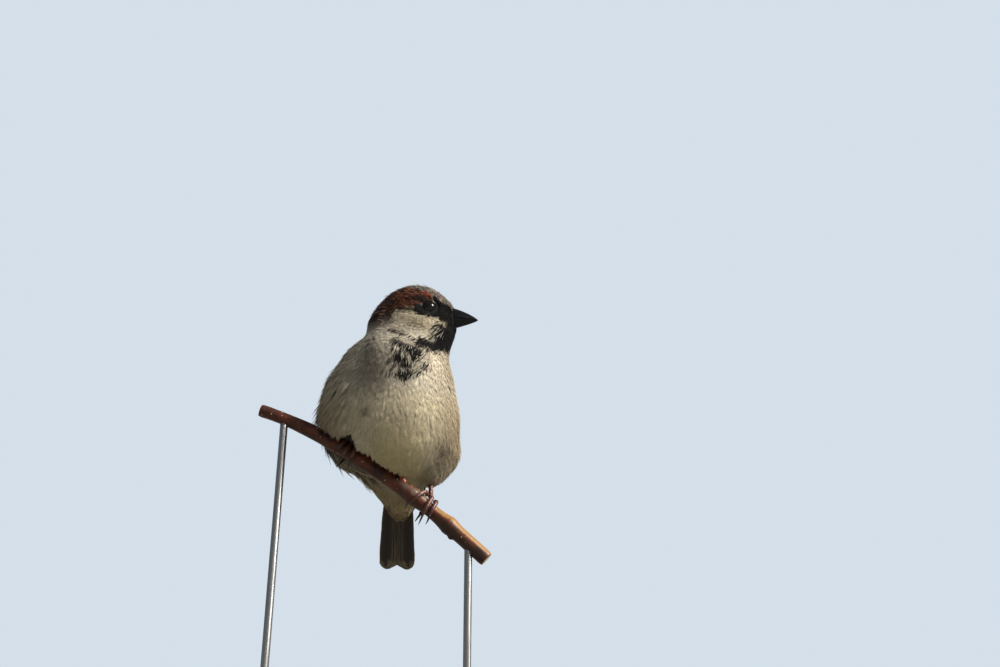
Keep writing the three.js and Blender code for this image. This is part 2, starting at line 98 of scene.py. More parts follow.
def lamp(name, towards, angle, power, colour):
    """A lamp far away: towards points from the bird to it, angle is how wide it looks."""
    data = bpy.data.lights.new(name, "SUN")
    data.angle, data.energy, data.color = math.radians(angle), power, colour
    made = bpy.data.objects.new(name, data)
    made.location = Vector(towards)
    made.rotation_euler = Vector(towards).to_track_quat("Z", "Y").to_euler()
    made.visible_glossy = name in ("key", "catch")  # only these show in the eyes and on the bill
    scene.collection.objects.link(made)
    return made


lamp("key", (0.78, -0.36, 0.60), 32, 7.2, (1.0, 0.955, 0.89))
lamp("fill", (-0.7, -0.65, 0.25), 60, 0.25, (0.88, 0.94, 1.0))
lamp("catch", (0.10, -0.91, 0.41), 6, 0.09, (1.0, 1.0, 1.0))
lamp("rim", (-0.35, 0.8, 0.6), 40, 0.7, (1.0, 0.98, 0.95))

world = bpy.data.worlds.new("pale_room")
world.use_nodes = True
room = world.node_tree
seen, lit = room.nodes["Background"], room.nodes.new("ShaderNodeBackground")
seen.inputs["Color"].default_value = (0.66, 0.74, 0.82, 1)
lit.inputs["Color"].default_value = (0.76, 0.86, 1.0, 1)
lit.inputs["Strength"].default_value = 0.19
which = room.nodes.new("ShaderNodeMixShader")
room.links.new(room.nodes.new("ShaderNodeLightPath").outputs["Is Camera Ray"], which.inputs[0])
room.links.new(lit.outputs[0], which.inputs[1])
room.links.new(seen.outputs[0], which.inputs[2])
room.links.new(which.outputs[0], room.nodes["World Output"].inputs["Surface"])
scene.world = world


def save_mesh(bm, name, smooth=True):
    """Writes a bmesh, made in metres, to an object that sits at the origin."""
    mesh = bpy.data.meshes.new(name)
    bm.to_mesh(mesh)
    bm.free()
    mesh.polygons.foreach_set("use_smooth", [smooth] * len(mesh.polygons))
    made = bpy.data.objects.new(name, mesh)
    scene.collection.objects.link(made)
    return made


floor_bm = bmesh.new()
bmesh.ops.create_grid(floor_bm, x_segments=1, y_segments=1, size=30)
floor = save_mesh(floor_bm, "floor", smooth=False)
floor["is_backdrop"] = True


# %% [markdown]
# ## Colours and small helpers
# Paint names are easier to mix than linear numbers, so a colour is written as the six digits that a
# painter's chart gives and turned into linear light once.

# %% Colours and small helpers
def tone(digits):
    value = np.array([int(digits[i:i + 2], 16) / 255 for i in (0, 2, 4)])
    return np.where(value <= 0.04045, value / 12.92, ((value + 0.055) / 1.055) ** 2.4)


def ramp(low, high, x):
    """0 below low, 1 above high, and a soft rise between."""
    t = np.clip((np.asarray(x, float) - low) / (high - low), 0, 1)
    return t * t * (3 - 2 * t)


def unit(vectors):
    length = np.linalg.norm(vectors, axis=-1, keepdims=True)
    return vectors / np.maximum(length, 1e-9)


def dot(a, b):
    return np.sum(a * b, axis=-1, keepdims=True)


def mottle(points, size, seed):
    """A smooth uneven value of about -1 to 1 in space, whose patches are about size across."""
    rng = np.random.default_rng(seed)
    total = np.zeros(np.shape(points)[:-1])
    for _ in range(7):
        way = unit(rng.normal(size=3)) * 2 * math.pi / (size * rng.uniform(0.7, 1.5))
        total = total + np.sin(points @ way + rng.uniform(0, 6.3))
    return total / 2.6


def turn_x(degrees):
    c, s = math.cos(math.radians(degrees)), math.sin(math.radians(degrees))
    return np.array([[1, 0, 0], [0, c, -s], [0, s, c]])


def turn_z(degrees):
    c, s = math.cos(math.radians(degrees)), math.sin(math.radians(degrees))
    return np.array([[c, -s, 0], [s, c, 0], [0, 0, 1]])


# %% [markdown]
# ## The bird's rounded form as a field
# The solids of the body are ellipsoids that run into each other. The same sum, written here as a distance
# field, gives the smooth surface under their facets, the way out of it at any place, and every level above
# or below it. The skin lies a feather's depth below level 0, and the tips of the coat reach it.

# %% The bird's rounded form as a field
BODY_TURN = turn_z(-5)
TAIL_TURN = turn_z(-1) @ turn_x(-26)
TAIL_ROOT = np.array([1.2, 20, 3])
HEAD_MIDDLE = np.array([13.9, -7.1, 68.5])  # midway between the eyes
head_yaw, head_drop = math.radians(74), math.radians(4)
HEAD_FORWARD = np.array([
    math.sin(head_yaw) * math.cos(head_drop), -math.cos(head_yaw) * math.cos(head_drop), -math.sin(head_drop),
])
HEAD_LEFT = unit(np.cross([0, 0, 1], HEAD_FORWARD))
HEAD_TURN = np.stack([HEAD_FORWARD, HEAD_LEFT, np.cross(HEAD_FORWARD, HEAD_LEFT)], 1)


def body_place(x, y, z):
    return BODY_TURN @ np.array([x, y, z], float) + np.array([-3.3, 0, 0])


def head_place(x, y, z):
    return HEAD_TURN @ np.array([x, y, z], float) + HEAD_MIDDLE


def tail_place(points):
    return np.asarray(points, float) @ TAIL_TURN.T + TAIL_ROOT


def lobe(middle, radii, turn=np.eye(3)):
    return np.asarray(middle, float), np.asarray(radii, float), turn


def body_lobe(middle, radii, tilt):
    return lobe(body_place(*middle), radii, BODY_TURN @ turn_x(tilt))


BODY_LOBES = [
    body_lobe((0.6, -3.5, 40), (24.1, 21, 21.5), 35),
    body_lobe((0, 0.5, 24.5), (28, 24, 25), 35),
    body_lobe((0, 9, 36), (19, 17, 26), 35),
    body_lobe((1, 16, 12), (14, 12, 20), 58),
    lobe(tail_place((0, 3, -2)), (6.2, 16, 5), TAIL_TURN),
    lobe(tail_place((0, 2, 2)), (6, 14, 4), TAIL_TURN),
    lobe((15.5, 8, 12.3), (10, 10, 11)),
    lobe((2.9, -3, 56.5), (15.8, 14.2, 13)),
] + [
    lobe(head_place(*middle), radii, HEAD_TURN)
    for middle, radii in (
        ((-8.5, 0, -0.4), (14.5, 11.8, 12.6)), ((-15.5, 0, -7.5), (11.5, 11, 11.5)),
        ((2, 0, -2.5), (6.8, 6.4, 6.4)), ((-5, 0, -6.5), (11.5, 12.3, 8)), ((-3.4, 0, -12), (8.8, 9, 8)),
    )
]
THIGH_LOBES = [lobe((14.2, 6, 8), (6.2, 7, 8.5)), lobe((-18, 9.5, 15), (5.8, 6.5, 8))]


def lobe_distance(points, one):
    middle, radii, turn = one
    local = (points - middle) @ turn
    near = np.linalg.norm(local / radii, axis=-1)
    slope = np.linalg.norm(local / radii ** 2, axis=-1)
    return near * (near - 1) / np.maximum(slope, 1e-9)


def run_together(a, b, blend):
    h = np.maximum(blend - np.abs(a - b), 0) / blend
    return np.minimum(a, b) - h * h * blend / 4


def joined(points, lobes, blend):
    total = lobe_distance(points, lobes[0])
    for one in lobes[1:]:
        total = run_together(total, lobe_distance(points, one), blend)
    return total


def drawn_in(points):
    """How far the coat lies sleeker than the round solids: right shoulder, left flank's foot, under the tail."""
    x, y, z = points[..., 0], points[..., 1], points[..., 2]
    shoulder = 2.0 * ramp(-9, -17, x) * ramp(36, 46, z) * ramp(66, 58, z)
    low_flank = 1.3 * ramp(12, 18, x) * ramp(13, 5, z)
    vent_side = 1.7 * ramp(2, -4, x) * ramp(9, 4, z) * ramp(4, 9, y)
    return shoulder + low_flank + vent_side


def trunk_form(points):
    return joined(points, BODY_LOBES, 6) + drawn_in(points)


def flesh(points):
    """Negative inside the body, 0 at the tips of its coat."""
    total = trunk_form(points)
    for one in THIGH_LOBES:
        total = run_together(total, lobe_distance(points, one), 3)
    return total


def outward(points, form=flesh):
    steps = np.eye(3) * 0.25
    return unit(np.stack([form(points + step) - form(points - step) for step in steps], -1))


def settle(points, level, form=flesh, rounds=2):
    """Moves points straight out or in to a level of the form."""
    for _ in range(rounds):
        way = outward(points, form)
        points = points - way * np.asarray(form(points) - level)[..., None] * 0.9
    return points


print("way out at the breast", outward(np.array([[0.0, -24, 30]])).round(2))

# %% [markdown]
# ## Where the coat changes
# Feathers are shortest round the bill and grow towards the belly, and so do their spacing and the depth of
# the coat. All three follow one number, the distance from the bill's root. The eyes, the feet, the twig and
# the wings keep their room free.

# %% Where the coat changes
BILL_ROOT = head_place(7.2, 0, -1.9)
EYE_RADIUS = 2.9


def eye_middle(side):
    low, high = 0.0, 30.0
    start = head_place(-0.3, 0, -1.2)
    while high - low > 1e-4:
        middle = (low + high) / 2
        inside = joined((start + HEAD_LEFT * side * middle)[None], BODY_LOBES, 6)[0] < 0
        low, high = (middle, high) if inside else (low, middle)
    return start + HEAD_LEFT * side * (low + 0.5 - EYE_RADIUS)


EYES = {"left": eye_middle(1), "right": eye_middle(-1)}
print("eyes at", {side: place.round(1) for side, place in EYES.items()})


def from_bill(points):
    return np.linalg.norm(points - BILL_ROOT, axis=-1)


def feather_length(points):
    return np.interp(from_bill(points), [3, 8, 15, 25, 35, 50, 70], [1.1, 1.9, 3.1, 4.6, 6.6, 8.6, 9.6])


def feather_spacing(points):
    return np.interp(from_bill(points), [3, 8, 15, 25, 35, 50, 70], [0.40, 0.43, 0.50, 0.64, 0.76, 0.86, 0.96])


def coat_depth(points):
    return np.interp(from_bill(points), [3, 9, 20, 35, 60], [0.45, 0.55, 0.9, 1.4, 1.7])


# %% [markdown]
# ## The twig's line
# The twig bends in one upright plane. Its axis is a quadratic curve, measured along from under the bird,
# and a place on its bark is an angle round it: 0 is its top and 90 its front. Feet, bark and stand all use
# this, so they meet exactly.

# %% The twig's line
TWIG_ENDS = np.array([[-54, 0, 27], [-14, 0, 15], [36, 0, -30.5]], float)
twig_t = np.linspace(0, 1, 801)[:, None]
twig_points = (
    TWIG_ENDS[0] * (1 - twig_t) ** 2 + TWIG_ENDS[1] * 2 * twig_t * (1 - twig_t) + TWIG_ENDS[2] * twig_t ** 2
)
twig_run = np.concatenate([[0], np.cumsum(np.linalg.norm(np.diff(twig_points, axis=0), axis=1))])
twig_run = twig_run - np.interp(0, twig_points[:, 0], twig_run)  # 0 under the bird
SWELLINGS = (  # along, how much thicker, over what length
    (-54, -0.6, 14), (-30, 0.2, 2), (-14, 0.25, 9), (9, 0.5, 3.6), (18, -0.35, 5), (27, 0.5, 3),
)


def twig_axis(along):
    return np.stack([np.interp(along, twig_run, twig_points[:, i]) for i in range(3)], -1)


def twig_tangent(along):
    return unit(twig_axis(np.asarray(along) + 0.5) - twig_axis(np.asarray(along) - 0.5))


def twig_radius(along):
    return 3.0 + sum(more * np.exp(-(((along - at) / spread) ** 2)) for at, more, spread in SWELLINGS)


def on_twig(along, angle, out):
    along, angle = np.broadcast_arrays(np.asarray(along, float), np.radians(np.asarray(angle, float)))
    tangent = twig_tangent(along)
    up = unit(np.array([0, 0, 1.0]) - tangent * tangent[..., 2:3])
    reach = (twig_radius(along) + out)[..., None]
    front = np.array([0, -1.0, 0])
    return twig_axis(along) + (up * np.cos(angle)[..., None] + front * np.sin(angle)[..., None]) * reach


FEET = {"right": dict(along=-22.2, back=8, swing=-0.3, open=0.75), "left": dict(along=14.6, back=7, swing=2.4, open=1.0)}
FOOT_ROOMS = [lobe(on_twig(foot["along"], -38, 3.5), (3.6, 6.5, 5.5)) for foot in FEET.values()]
FOOT_HOLLOW = lobe((-18.0, -9, 11.6), (5.4, 8, 6.2))  # the belly's feathers part over the right foot
print("twig from", twig_run[0].round(1), "to", twig_run[-1].round(1))


def off_twig(points):
    """How far a place is from the bark, negative inside the twig."""
    near = np.argmin(
        np.linalg.norm(np.asarray(points)[..., None, :] - twig_points[::8], axis=-1), axis=-1
    )
    along = twig_run[::8][near]
    return np.linalg.norm(points - twig_axis(along), axis=-1) - twig_radius(along)


SHELF_UP = np.array([math.sin(math.radians(32)), 0, math.cos(math.radians(32))])
SHELF_NORMAL = SHELF_UP * math.cos(math.radians(17)) - np.array([0, 1, 0]) * math.sin(math.radians(17))
SHELF_POINT = np.array([-20, 0, 13]) + SHELF_UP * 3.3


def below_shelf(points):
    """How far a place in front of the twig hangs below the belly's edge, where the body ends."""
    low = -((points - SHELF_POINT) @ SHELF_NORMAL)
    return np.where(points[..., 1] < 2.6, low, -9.0)


# %% [markdown]
# ## The folded wings' lie
# A folded wing is a flat fan over the side of the body. Its places are given by q, the share of its length
# from the shoulder to the longest tip, and t, how far up from its middle line. A place is found by coming
# in from outside until it touches the body's coat or the closed fan of the primaries behind it.

# %% The folded wings' lie
WING_LINE = np.array([[22, -6, 46], [24, 5, 32], [20.5, 17, 22], [10, 29, 12], [2.9, 43.5, -1.5]], float)
WING_OUT = np.array([[1, -0.15, 0.2], [1, 0.1, 0.05], [1, 0.36, 0.1], [0.85, 0.45, 0.3], [0.85, 0.45, 0.3]])
wing_run = np.concatenate([[0], np.cumsum(np.linalg.norm(np.diff(WING_LINE, axis=0), axis=1))])
WING_LENGTH = wing_run[-1]
WING_DROOP = {1: 3.0, -1: -2.0}


def primaries_lobe(side):
    along = unit(np.array([-0.34 * side, 0.69, -0.62]))
    out = np.array([0.85 * side, 0.45, 0.3])
    out = unit(out - along * (out @ along))
    turn = BODY_TURN @ np.stack([out, np.cross(along, out), along], 1)
    return lobe(body_place(10 * side, 29, 12 - WING_DROOP[side]), (2.4, 6.5, 21), turn)


PRIMARIES = {side: primaries_lobe(side) for side in (1, -1)}


def wing_form(side):
    def form(points):
        coat = trunk_form(points) + 2.3
        return run_together(coat, lobe_distance(points, PRIMARIES[side]), 3)
    return form


def wing_place(side, q, t, level):
    """Places on the outside of a folded wing. q and t are arrays of one shape."""
    run = np.asarray(q, float) * WING_LENGTH
    middle = np.stack([np.interp(run, wing_run, WING_LINE[:, i]) for i in range(3)], -1)
    ahead = np.stack([np.interp(run + 3, wing_run, WING_LINE[:, i]) for i in range(3)], -1)
    ahead = ahead - np.stack([np.interp(run - 3, wing_run, WING_LINE[:, i]) for i in range(3)], -1)
    out = unit(np.stack([np.interp(run, wing_run, WING_OUT[:, i]) for i in range(3)], -1))
    up = unit(np.cross(out, unit(ahead)))
    place = middle + up * np.asarray(t, float)[..., None]
    mirror = np.array([side, 1, 1])
    place = (place * mirror) @ BODY_TURN.T + np.array([-3.3, 0, 0])
    place[..., 2] -= WING_DROOP[side] * ramp(0.35, 0.75, q)
    out = (out * mirror) @ BODY_TURN.T
    form = wing_form(side)
    far = place + out * 22
    gone = np.zeros(far.shape[:-1])
    for _ in range(34):
        gap = form(far - out * gone[..., None]) - level
        gone = np.clip(gone + gap * 0.85, 0, 34)
    missed = gone > 33  # nothing there: stay near the wing's own plane
    gone = np.where(missed, 22 - 0.6, gone)
    return far - out * gone[..., None], out


def wing_cover(points):
    """How deep a place of the trunk lies under either wing's coverts and secondaries."""
    deep = np.full(points.shape[:-1], -9.0)
    for side in (1, -1):
        local = (points - np.array([-3.3, 0, 0])) @ BODY_TURN
        local = local * np.array([side, 1, 1])
        flat = local - np.array([24, 5, 32.0])
        along = unit(np.array([-0.05, 0.65, -0.76]))
        up = np.array([0, 0.76, 0.65])
        s, t = flat @ along, flat @ up
        inside = 1 - np.sqrt(((s - 8) / 27) ** 2 + ((t - 1) / 11.5) ** 2)
        deep = np.maximum(deep, np.where(local[..., 0] > 6, inside * 11, -9))
    return deep


test_place, _ = wing_place(1, np.array([0.0, 0.3, 0.6, 1.0]), np.zeros(4), 0.0)
print("left wing from", test_place[0].round(1), "to", test_place[-1].round(1))

# %% [markdown]
# ## The markings
# A male house sparrow has a grey crown, a chestnut band from the eye to the nape, a black mask and bib, a
# buff-grey cheek with a cream band under it, a greyish breast and a streaked brown back. Skin and feathers
# both ask one function for their colours, so they always agree. Boundaries follow the head's own axes and
# are broken up by uneven values, because on the bird they are made of single feathers.

# %% The markings
INK = {
    "crown": tone("736a5f"), "chestnut": tone("623a28"), "chestnut_deep": tone("1f1511"), "rust": tone("7e3c24"),
    "black": tone("0a0909"), "crown_deep": tone("3a312b"), "cheek": tone("bdb096"), "cheek_patch": tone("8f7f66"), "cream": tone("cdc0a2"),
    "nape": tone("3b2a23"), "nape_grey": tone("6f665a"), "bib_tip": tone("b2ab9a"),
    "breast": tone("c7bda9"), "breast_painted_light": tone("ddd0b8"), "side": tone("a4977f"), "flank": tone("94846a"),
    "belly": tone("c9bd9f"), "belly_low": tone("c8ba8f"), "vent": tone("a89a7c"),
    "undertail": tone("a8966f"), "undertail_mark": tone("4c3826"), "streak_buff": tone("a98659"),
    "mantle": tone("7d5a39"), "mantle_mark": tone("1f1713"), "rump": tone("7d715f"),
    "lid": tone("0e0c0d"),
}


UNDERTAIL_MARKS = (  # across, along, and the sizes of each dark mark
    (-3.6, 8.0, 1.4, 2.4), (-0.4, 12.5, 1.5, 2.4), (2.8, 14.5, 1.2, 2.0), (3.9, 7.0, 0.9, 2.6), (-2.4, 15.5, 1.0, 1.8),
)


def blend(base, colour, share):
    share = np.asarray(share)[..., None]
    return base * (1 - share) + colour * share


def markings(points):
    """What the coat looks like at places on it: the web's colour, the tip and the shaft with their shares,
    how much feathers differ from each other, and how much of the place is black streaks."""
    head = (points - HEAD_MIDDLE) @ HEAD_TURN
    f, side, u = head[..., 0], np.abs(head[..., 1]), head[..., 2]
    x, y, z = points[..., 0], points[..., 1], points[..., 2]
    rough, fine = mottle(points, 4.0, 1), mottle(points, 1.3, 2)
    zero = np.zeros(f.shape)

    def spot(cx, cz, rx, rz):
        return np.exp(-(((x - cx) / rx) ** 2) - ((z - cz) / rz) ** 2)

    def stroke(path, wide):
        path = np.array(path, float)
        at = np.interp(x, path[:, 0], path[:, 1])
        ends = ramp(path[0, 0] - 1.5, path[0, 0] + 1, x) * ramp(path[-1, 0] + 1.5, path[-1, 0] - 1, x)
        return np.exp(-(((z - at) / wide) ** 2)) * ends

    # The trunk: pale in front, browner at the sides, yellowish below, streaked brown behind.
    behind = ramp(2, 12, y - 0.30 * (z - 36) * (z > 36))
    low = ramp(22, 4, z)
    colour = np.broadcast_to(INK["breast"], points.shape).copy()
    # Painted light: the front of the breast on the bird's left, which faces the key lamp, is painted paler.
    colour = blend(colour, INK["breast_painted_light"], ramp(3, 14, x) * ramp(30, 42, z) * ramp(56, 50, z) * ramp(-4, -10, y))
    colour = blend(colour, INK["belly"], ramp(34, 22, z))
    colour = blend(colour, INK["belly_low"], low * ramp(16, 4, np.abs(x)))
    sideways = np.abs(x + 3) / 26
    colour = blend(colour, INK["side"], ramp(0.45, 0.95, sideways) * 0.75)
    colour = blend(colour, INK["flank"], ramp(0.62, 1.0, sideways) * ramp(34, 18, z) * 0.8)
    colour = blend(colour, INK["flank"], ramp(-4, 8, y) * ramp(30, 8, z) * ramp(6, 14, np.abs(x)) * 0.7)
    # Painted shade: the bird's right breast, turned away from the key lamp, is painted darker grey here.
    colour = blend(colour, INK["nape_grey"] * 0.5, spot(-10.5, 37, 10.5, 15) * 0.85 * ramp(0, -8, y))
    # Painted shade: the middle of the belly is painted darker here.
    colour = blend(colour, INK["belly"] * 0.5, spot(1, 18, 9, 7) * 0.5)
    smudge = np.exp(-(((x + 12.6) / 1.9) ** 2) - ((z - 19.6) / 1.8) ** 2) * (y < -8)
    colour = blend(colour, INK["nape_grey"] * 0.6, smudge * 0.75)
    # Painted shade: the low flank on the bird's left, above the left foot, is painted darker.
    colour = blend(colour, INK["side"] * 0.3, np.exp(-(((x - 17.5) / 6) ** 2) - ((z - 5.5) / 5.5) ** 2) * 0.8)
    vent = ramp(6, 15, y) * ramp(9, 1, z)
    colour = blend(colour, INK["vent"], vent)

    tip, tip_share = colour * 1.04, zero + 0.25
    middle, middle_share = colour * 0.88, zero + 0.15

    # The back and rump.
    back = behind * ramp(8, 16, z + 0.4 * y)
    brown = blend(np.broadcast_to(INK["mantle"], points.shape), INK["chestnut"], 0.35 + 0.3 * rough)
    streaky = back * ramp(20, 32, z)
    stripe = np.sin((x + 3.3 + 0.09 * y) * (2 * math.pi / 4.4) + 1.1 * rough)
    brown = blend(brown, INK["streak_buff"], streaky * ramp(-0.2, -0.8, stripe) * 0.6)
    lines = streaky * ramp(0.15, 0.55, stripe + 0.4 * fine) * ramp(-0.9, 0.1, mottle(points * [1, 0.4, 0.4], 3.5, 5))
    brown = blend(brown, INK["mantle_mark"], lines * 0.92)
    brown = blend(brown, INK["rump"], ramp(33, 18, z))
    colour = blend(colour, brown, back)
    tip = blend(tip, blend(brown, tone("b08f63"), 0.4 * (1 - lines)), back)
    middle = blend(middle, INK["mantle_mark"], back * ramp(20, 32, z))
    middle_share = np.maximum(middle_share, back * ramp(20, 32, z) * (0.35 + 0.6 * ramp(-0.3, 0.4, stripe)))

    # Under the tail: buff with a brown dart in each feather.
    local_tail = (points - TAIL_ROOT) @ TAIL_TURN
    under = ramp(-6, 2, local_tail[..., 1]) * ramp(1.5, -0.5, local_tail[..., 2])
    colour = blend(colour, INK["undertail"], under)
    tip = blend(tip, INK["undertail"] * 1.25, under)
    middle = blend(middle, INK["undertail_mark"], under)
    middle_share = np.maximum(middle_share, under * 0.9)
    for across, along, wide, long in UNDERTAIL_MARKS:
        mark = np.exp(-(((local_tail[..., 0] - across) / wide) ** 2) - ((local_tail[..., 1] - along) / long) ** 2) * under
        colour, tip = blend(colour, INK["undertail_mark"], mark * 0.85), blend(tip, INK["undertail_mark"], mark * 0.6)
    colour = blend(colour, INK["flank"] * 0.5, under * ramp(10, 18, local_tail[..., 1]) * 0.7)
    over = ramp(-6, 2, local_tail[..., 1]) * ramp(-0.5, 1.5, local_tail[..., 2])
    colour = blend(colour, INK["rump"], over)

    # The neck: olive-grey behind and at the sides, running into the back.
    headness = ramp(54, 60, z + 0.25 * (x - 3))
    neck_back = ramp(-12, 0, y + 0.1 * x) * ramp(44, 54, z)
    colour = blend(colour, INK["nape_grey"], neck_back * 0.8)
    tip = blend(tip, INK["nape_grey"] * 1.3, neck_back * 0.6)

    # The head, in its own axes. rise is the angle round the side of the head, 90 at the crown.
    rise = np.degrees(np.arctan2(u + 1.5, side)) + 2.5 * rough + 3.0 * fine
    grey_edge = np.interp(f, [-23, -15, -10.5, -8.3, -2.9, 0.1, 1.3, 3.9, 8], [77, 63, 53, 47, 43, 40, 37, 33, 36])
    face = blend(np.broadcast_to(INK["cheek"], points.shape), INK["cheek_patch"],
                 np.exp(-(((f + 3.8) / 5) ** 2) - ((u + 10.9) / 2.2) ** 2) * (0.85 + 0.3 * fine))
    face = blend(face, INK["cream"], np.exp(-(((f - 2.5) / 2.2) ** 2) - ((u + 8.6) / 2.6) ** 2) * 0.7)
    band = np.exp(-(((u + 13.3 + 0.2 * (f + 7.6)) / 1.5) ** 2)) * ramp(-12, -7, f)
    face = blend(face, INK["cream"], band * 0.95)
    line = np.exp(-(((u + 15.0 + 0.42 * (f + 7.5)) / 0.6) ** 2)) * ramp(-14, -11, f) * ramp(1, -1, f)
    face = blend(face, INK["nape"], line * 0.75)
    chestnut = blend(np.broadcast_to(INK["chestnut"], points.shape), INK["chestnut_deep"],
                     np.clip(0.42 + 0.45 * rough + 0.55 * fine + ramp(-12, -24, f) * 0.5, 0, 1))
    rusty = np.exp(-(((f + 2.4) / 2.2) ** 2) - ((u - 5.6 + 0.35 * (f + 2.4)) / 0.7) ** 2)
    chestnut = blend(chestnut, INK["rust"], np.clip(rusty * 0.8 + 0.3 * (fine > 0.8), 0, 1))
    low_edge = np.interp(f, [-24, -17, -14.5, -13, -8, -5, -2.5, 0], [-30, -28, -16, -10, -9, 2, 10, 22])
    behind_cheek = ramp(-13.6, -14.8, f + 0.8 * fine)
    red = np.maximum(ramp(low_edge - 3, low_edge + 3, rise), behind_cheek * ramp(-48, -38, rise))
    face = blend(face, chestnut, red * ramp(1.2, -0.6, f))
    dark_nape = behind_cheek * ramp(0, -14, rise) * ramp(-60, -46, rise)
    face = blend(face, INK["nape"], dark_nape * 0.85)
    crown = blend(np.broadcast_to(INK["crown"], points.shape), INK["crown_deep"], np.clip(0.35 + 0.6 * fine, 0, 1) * 0.75)
    crownness = ramp(grey_edge - 3, grey_edge + 3, rise)
    face = blend(face, crown, crownness)
    # The mask: round the eye, forward to the bill and back as a thin line.
    mask = ramp(1.2, 0.95, np.sqrt(((f + 1.0) / 5.2) ** 2 + ((u + 2.2) / 4.1) ** 2) + 0.08 * fine)
    fore = ramp(-0.5, 1.0, f) * ramp(-6.3 - 0.35 * (f - 2), -5.4 - 0.35 * (f - 2), u + 0.3 * fine)
    fore = fore * ramp(grey_edge + 2, grey_edge - 3, rise)
    tail_line = np.exp(-(((u + 3.5 + 0.12 * (f + 8)) / 1.0) ** 2)) * ramp(-15, -12, f) * ramp(0, -3, f)
    front = np.maximum(ramp(4.0, 5.2, f + 0.45 * fine + 0.12 * (u + 8)) * ramp(-8.6, -6.6, u), ramp(5.9, 6.9, f + 0.3 * fine))
    front = front * ramp(grey_edge + 2, grey_edge - 3, rise)
    brow = np.exp(-(((u - 3.5 - 0.16 * f) / 1.15) ** 2)) * ramp(-9.5, -6.5, f) * ramp(2.2, 0.8, f)
    black = np.maximum.reduce([mask * ramp(grey_edge + 1, grey_edge - 4, rise), fore, tail_line * 0.9, front, brow * 0.9])
    # The chin and throat, and the black that runs from them under the cheek.
    throat = ramp(-9.5, -11.5, u) * ramp(6.8, 4.6, side - 0.9 * ramp(-12, -16, u) + 0.5 * fine) * ramp(-3, 1, f + 0.3 * (u + 12))
    below_band = ramp(-13.8, -15.2, u + 0.25 * (f - 3) + 0.35 * fine) * ramp(-1.5, 1.5, f)
    black = np.maximum.reduce([black, throat, below_band])
    dashed = ramp(2.6, 5.0, f - 0.24 * (u + 11)) * ramp(-6.8, -8.6, u) * ramp(-18, -14.5, u) * 0.5
    spots = np.exp(-(((f - 1.5) / 0.6) ** 2) - ((u - 2.3) / 0.55) ** 2) + np.exp(-(((f + 3.9) / 0.7) ** 2) - ((u + 0.5) / 0.6) ** 2)
    face = blend(face, INK["black"], np.clip(black, 0, 1))
    face = blend(face, INK["cream"] * 1.25, np.clip(spots * 1.6, 0, 1))
    colour = blend(colour, face, headness)
    tip = blend(tip, face * 1.1, headness)
    # Painted shade: the front of the neck, mostly on the bird's right and turned away from the key lamp, is painted
    # darker grey.
    painted_neck_shade = np.maximum(spot(-8.5, 59.2, 5, 3.4) * 0.9, spot(-2, 55.5, 7, 2.8) * 0.75) * ramp(0, -8, y)
    colour, tip = blend(colour, INK["nape_grey"], painted_neck_shade), blend(tip, INK["nape_grey"] * 1.15, painted_neck_shade)
    tip_share = tip_share * (1 - 0.6 * headness)
    middle = blend(middle, face * 0.8, headness)
    uneven = 0.03 + headness * (0.08 + 0.27 * np.maximum(red * ramp(1.2, -0.6, f), crownness * 0.7))
    uneven = np.maximum(uneven, back * 0.12)

    # The bib on the upper breast: rows and blotches of black streaks on a grey ground.
    bold = np.maximum.reduce([
        stroke([(-1.8, 50.4), (-0.5, 49.2), (1.5, 47.6), (3, 46.9), (5.8, 46.2), (9, 45)], 0.85) * 1.2,
        stroke([(7.3, 50.6), (9.1, 50.9), (11.5, 50.6), (13, 50.0), (15, 51.3), (17, 53.2), (20, 55.5)], 1.5) * 1.5,
        spot(17.2, 54.6, 2.6, 2.0) * 1.4, spot(-0.3, 42.5, 1.5, 2.0) * 1.3, spot(1.9, 40.1, 1.4, 0.9) * 1.2,
        stroke([(3.9, 43.9), (5.3, 42.8), (6.3, 41.8)], 0.9),
        stroke([(-0.9, 35.2), (0.7, 34.7), (2.3, 34.7), (4.2, 35.6), (5.6, 36.4)], 1.2),
    ])
    scattered = np.maximum.reduce([
        stroke([(-3, 56.0), (0.5, 54.4), (4.2, 53.0), (6.9, 50.9), (9.1, 51)], 0.5) * 0.4,
        stroke([(-2.6, 46.5), (1, 44.8), (5, 44.2), (9, 43.5)], 2.2) * 0.42, spot(2, 40, 4.5, 4.5) * 0.34, spot(9.5, 40.3, 2.0, 1.5) * 0.4,
        spot(12.5, 48.6, 2.4, 1.2) * 0.4, spot(8.1, 36.9, 1.0, 0.8) * 0.4,
    ])
    in_front = ramp(-6, -10, y) * ramp(30, 32, z)
    bib = np.maximum(bold, scattered) * in_front
    ground = in_front * ramp(1.25, 0.85, np.sqrt(((x - 3.2) / 8.5) ** 2 + ((z - 42) / 9.5) ** 2))
    colour = blend(blend(colour, INK["nape_grey"], ground * 0.55), INK["black"], ramp(0.3, 0.8, bold) * in_front * 0.85)
    tip = blend(tip, INK["bib_tip"], ground)
    tip_share = np.maximum(tip_share, ground * 0.5 * (1 - np.clip(bold, 0, 1)))
    inked = np.maximum(bib, dashed * headness)
    flecked = np.exp(-(((f - 4.4) / 1.5) ** 2) - ((u + 11.5) / 3.0) ** 2) * headness * 0.22
    flecked = flecked + (ramp(0.12, 0.13, inked) * ramp(51, 50.9, z) * 0.12)

    # The bare lids.
    for eye in EYES.values():
        near = np.linalg.norm(points - eye, axis=-1)
        colour = blend(colour, INK["lid"], ramp(3.4, 2.9, near))
    return dict(colour=colour, tip=tip, tip_share=tip_share, middle=middle, middle_share=middle_share,
                uneven=uneven, inked=inked, flecked=flecked)


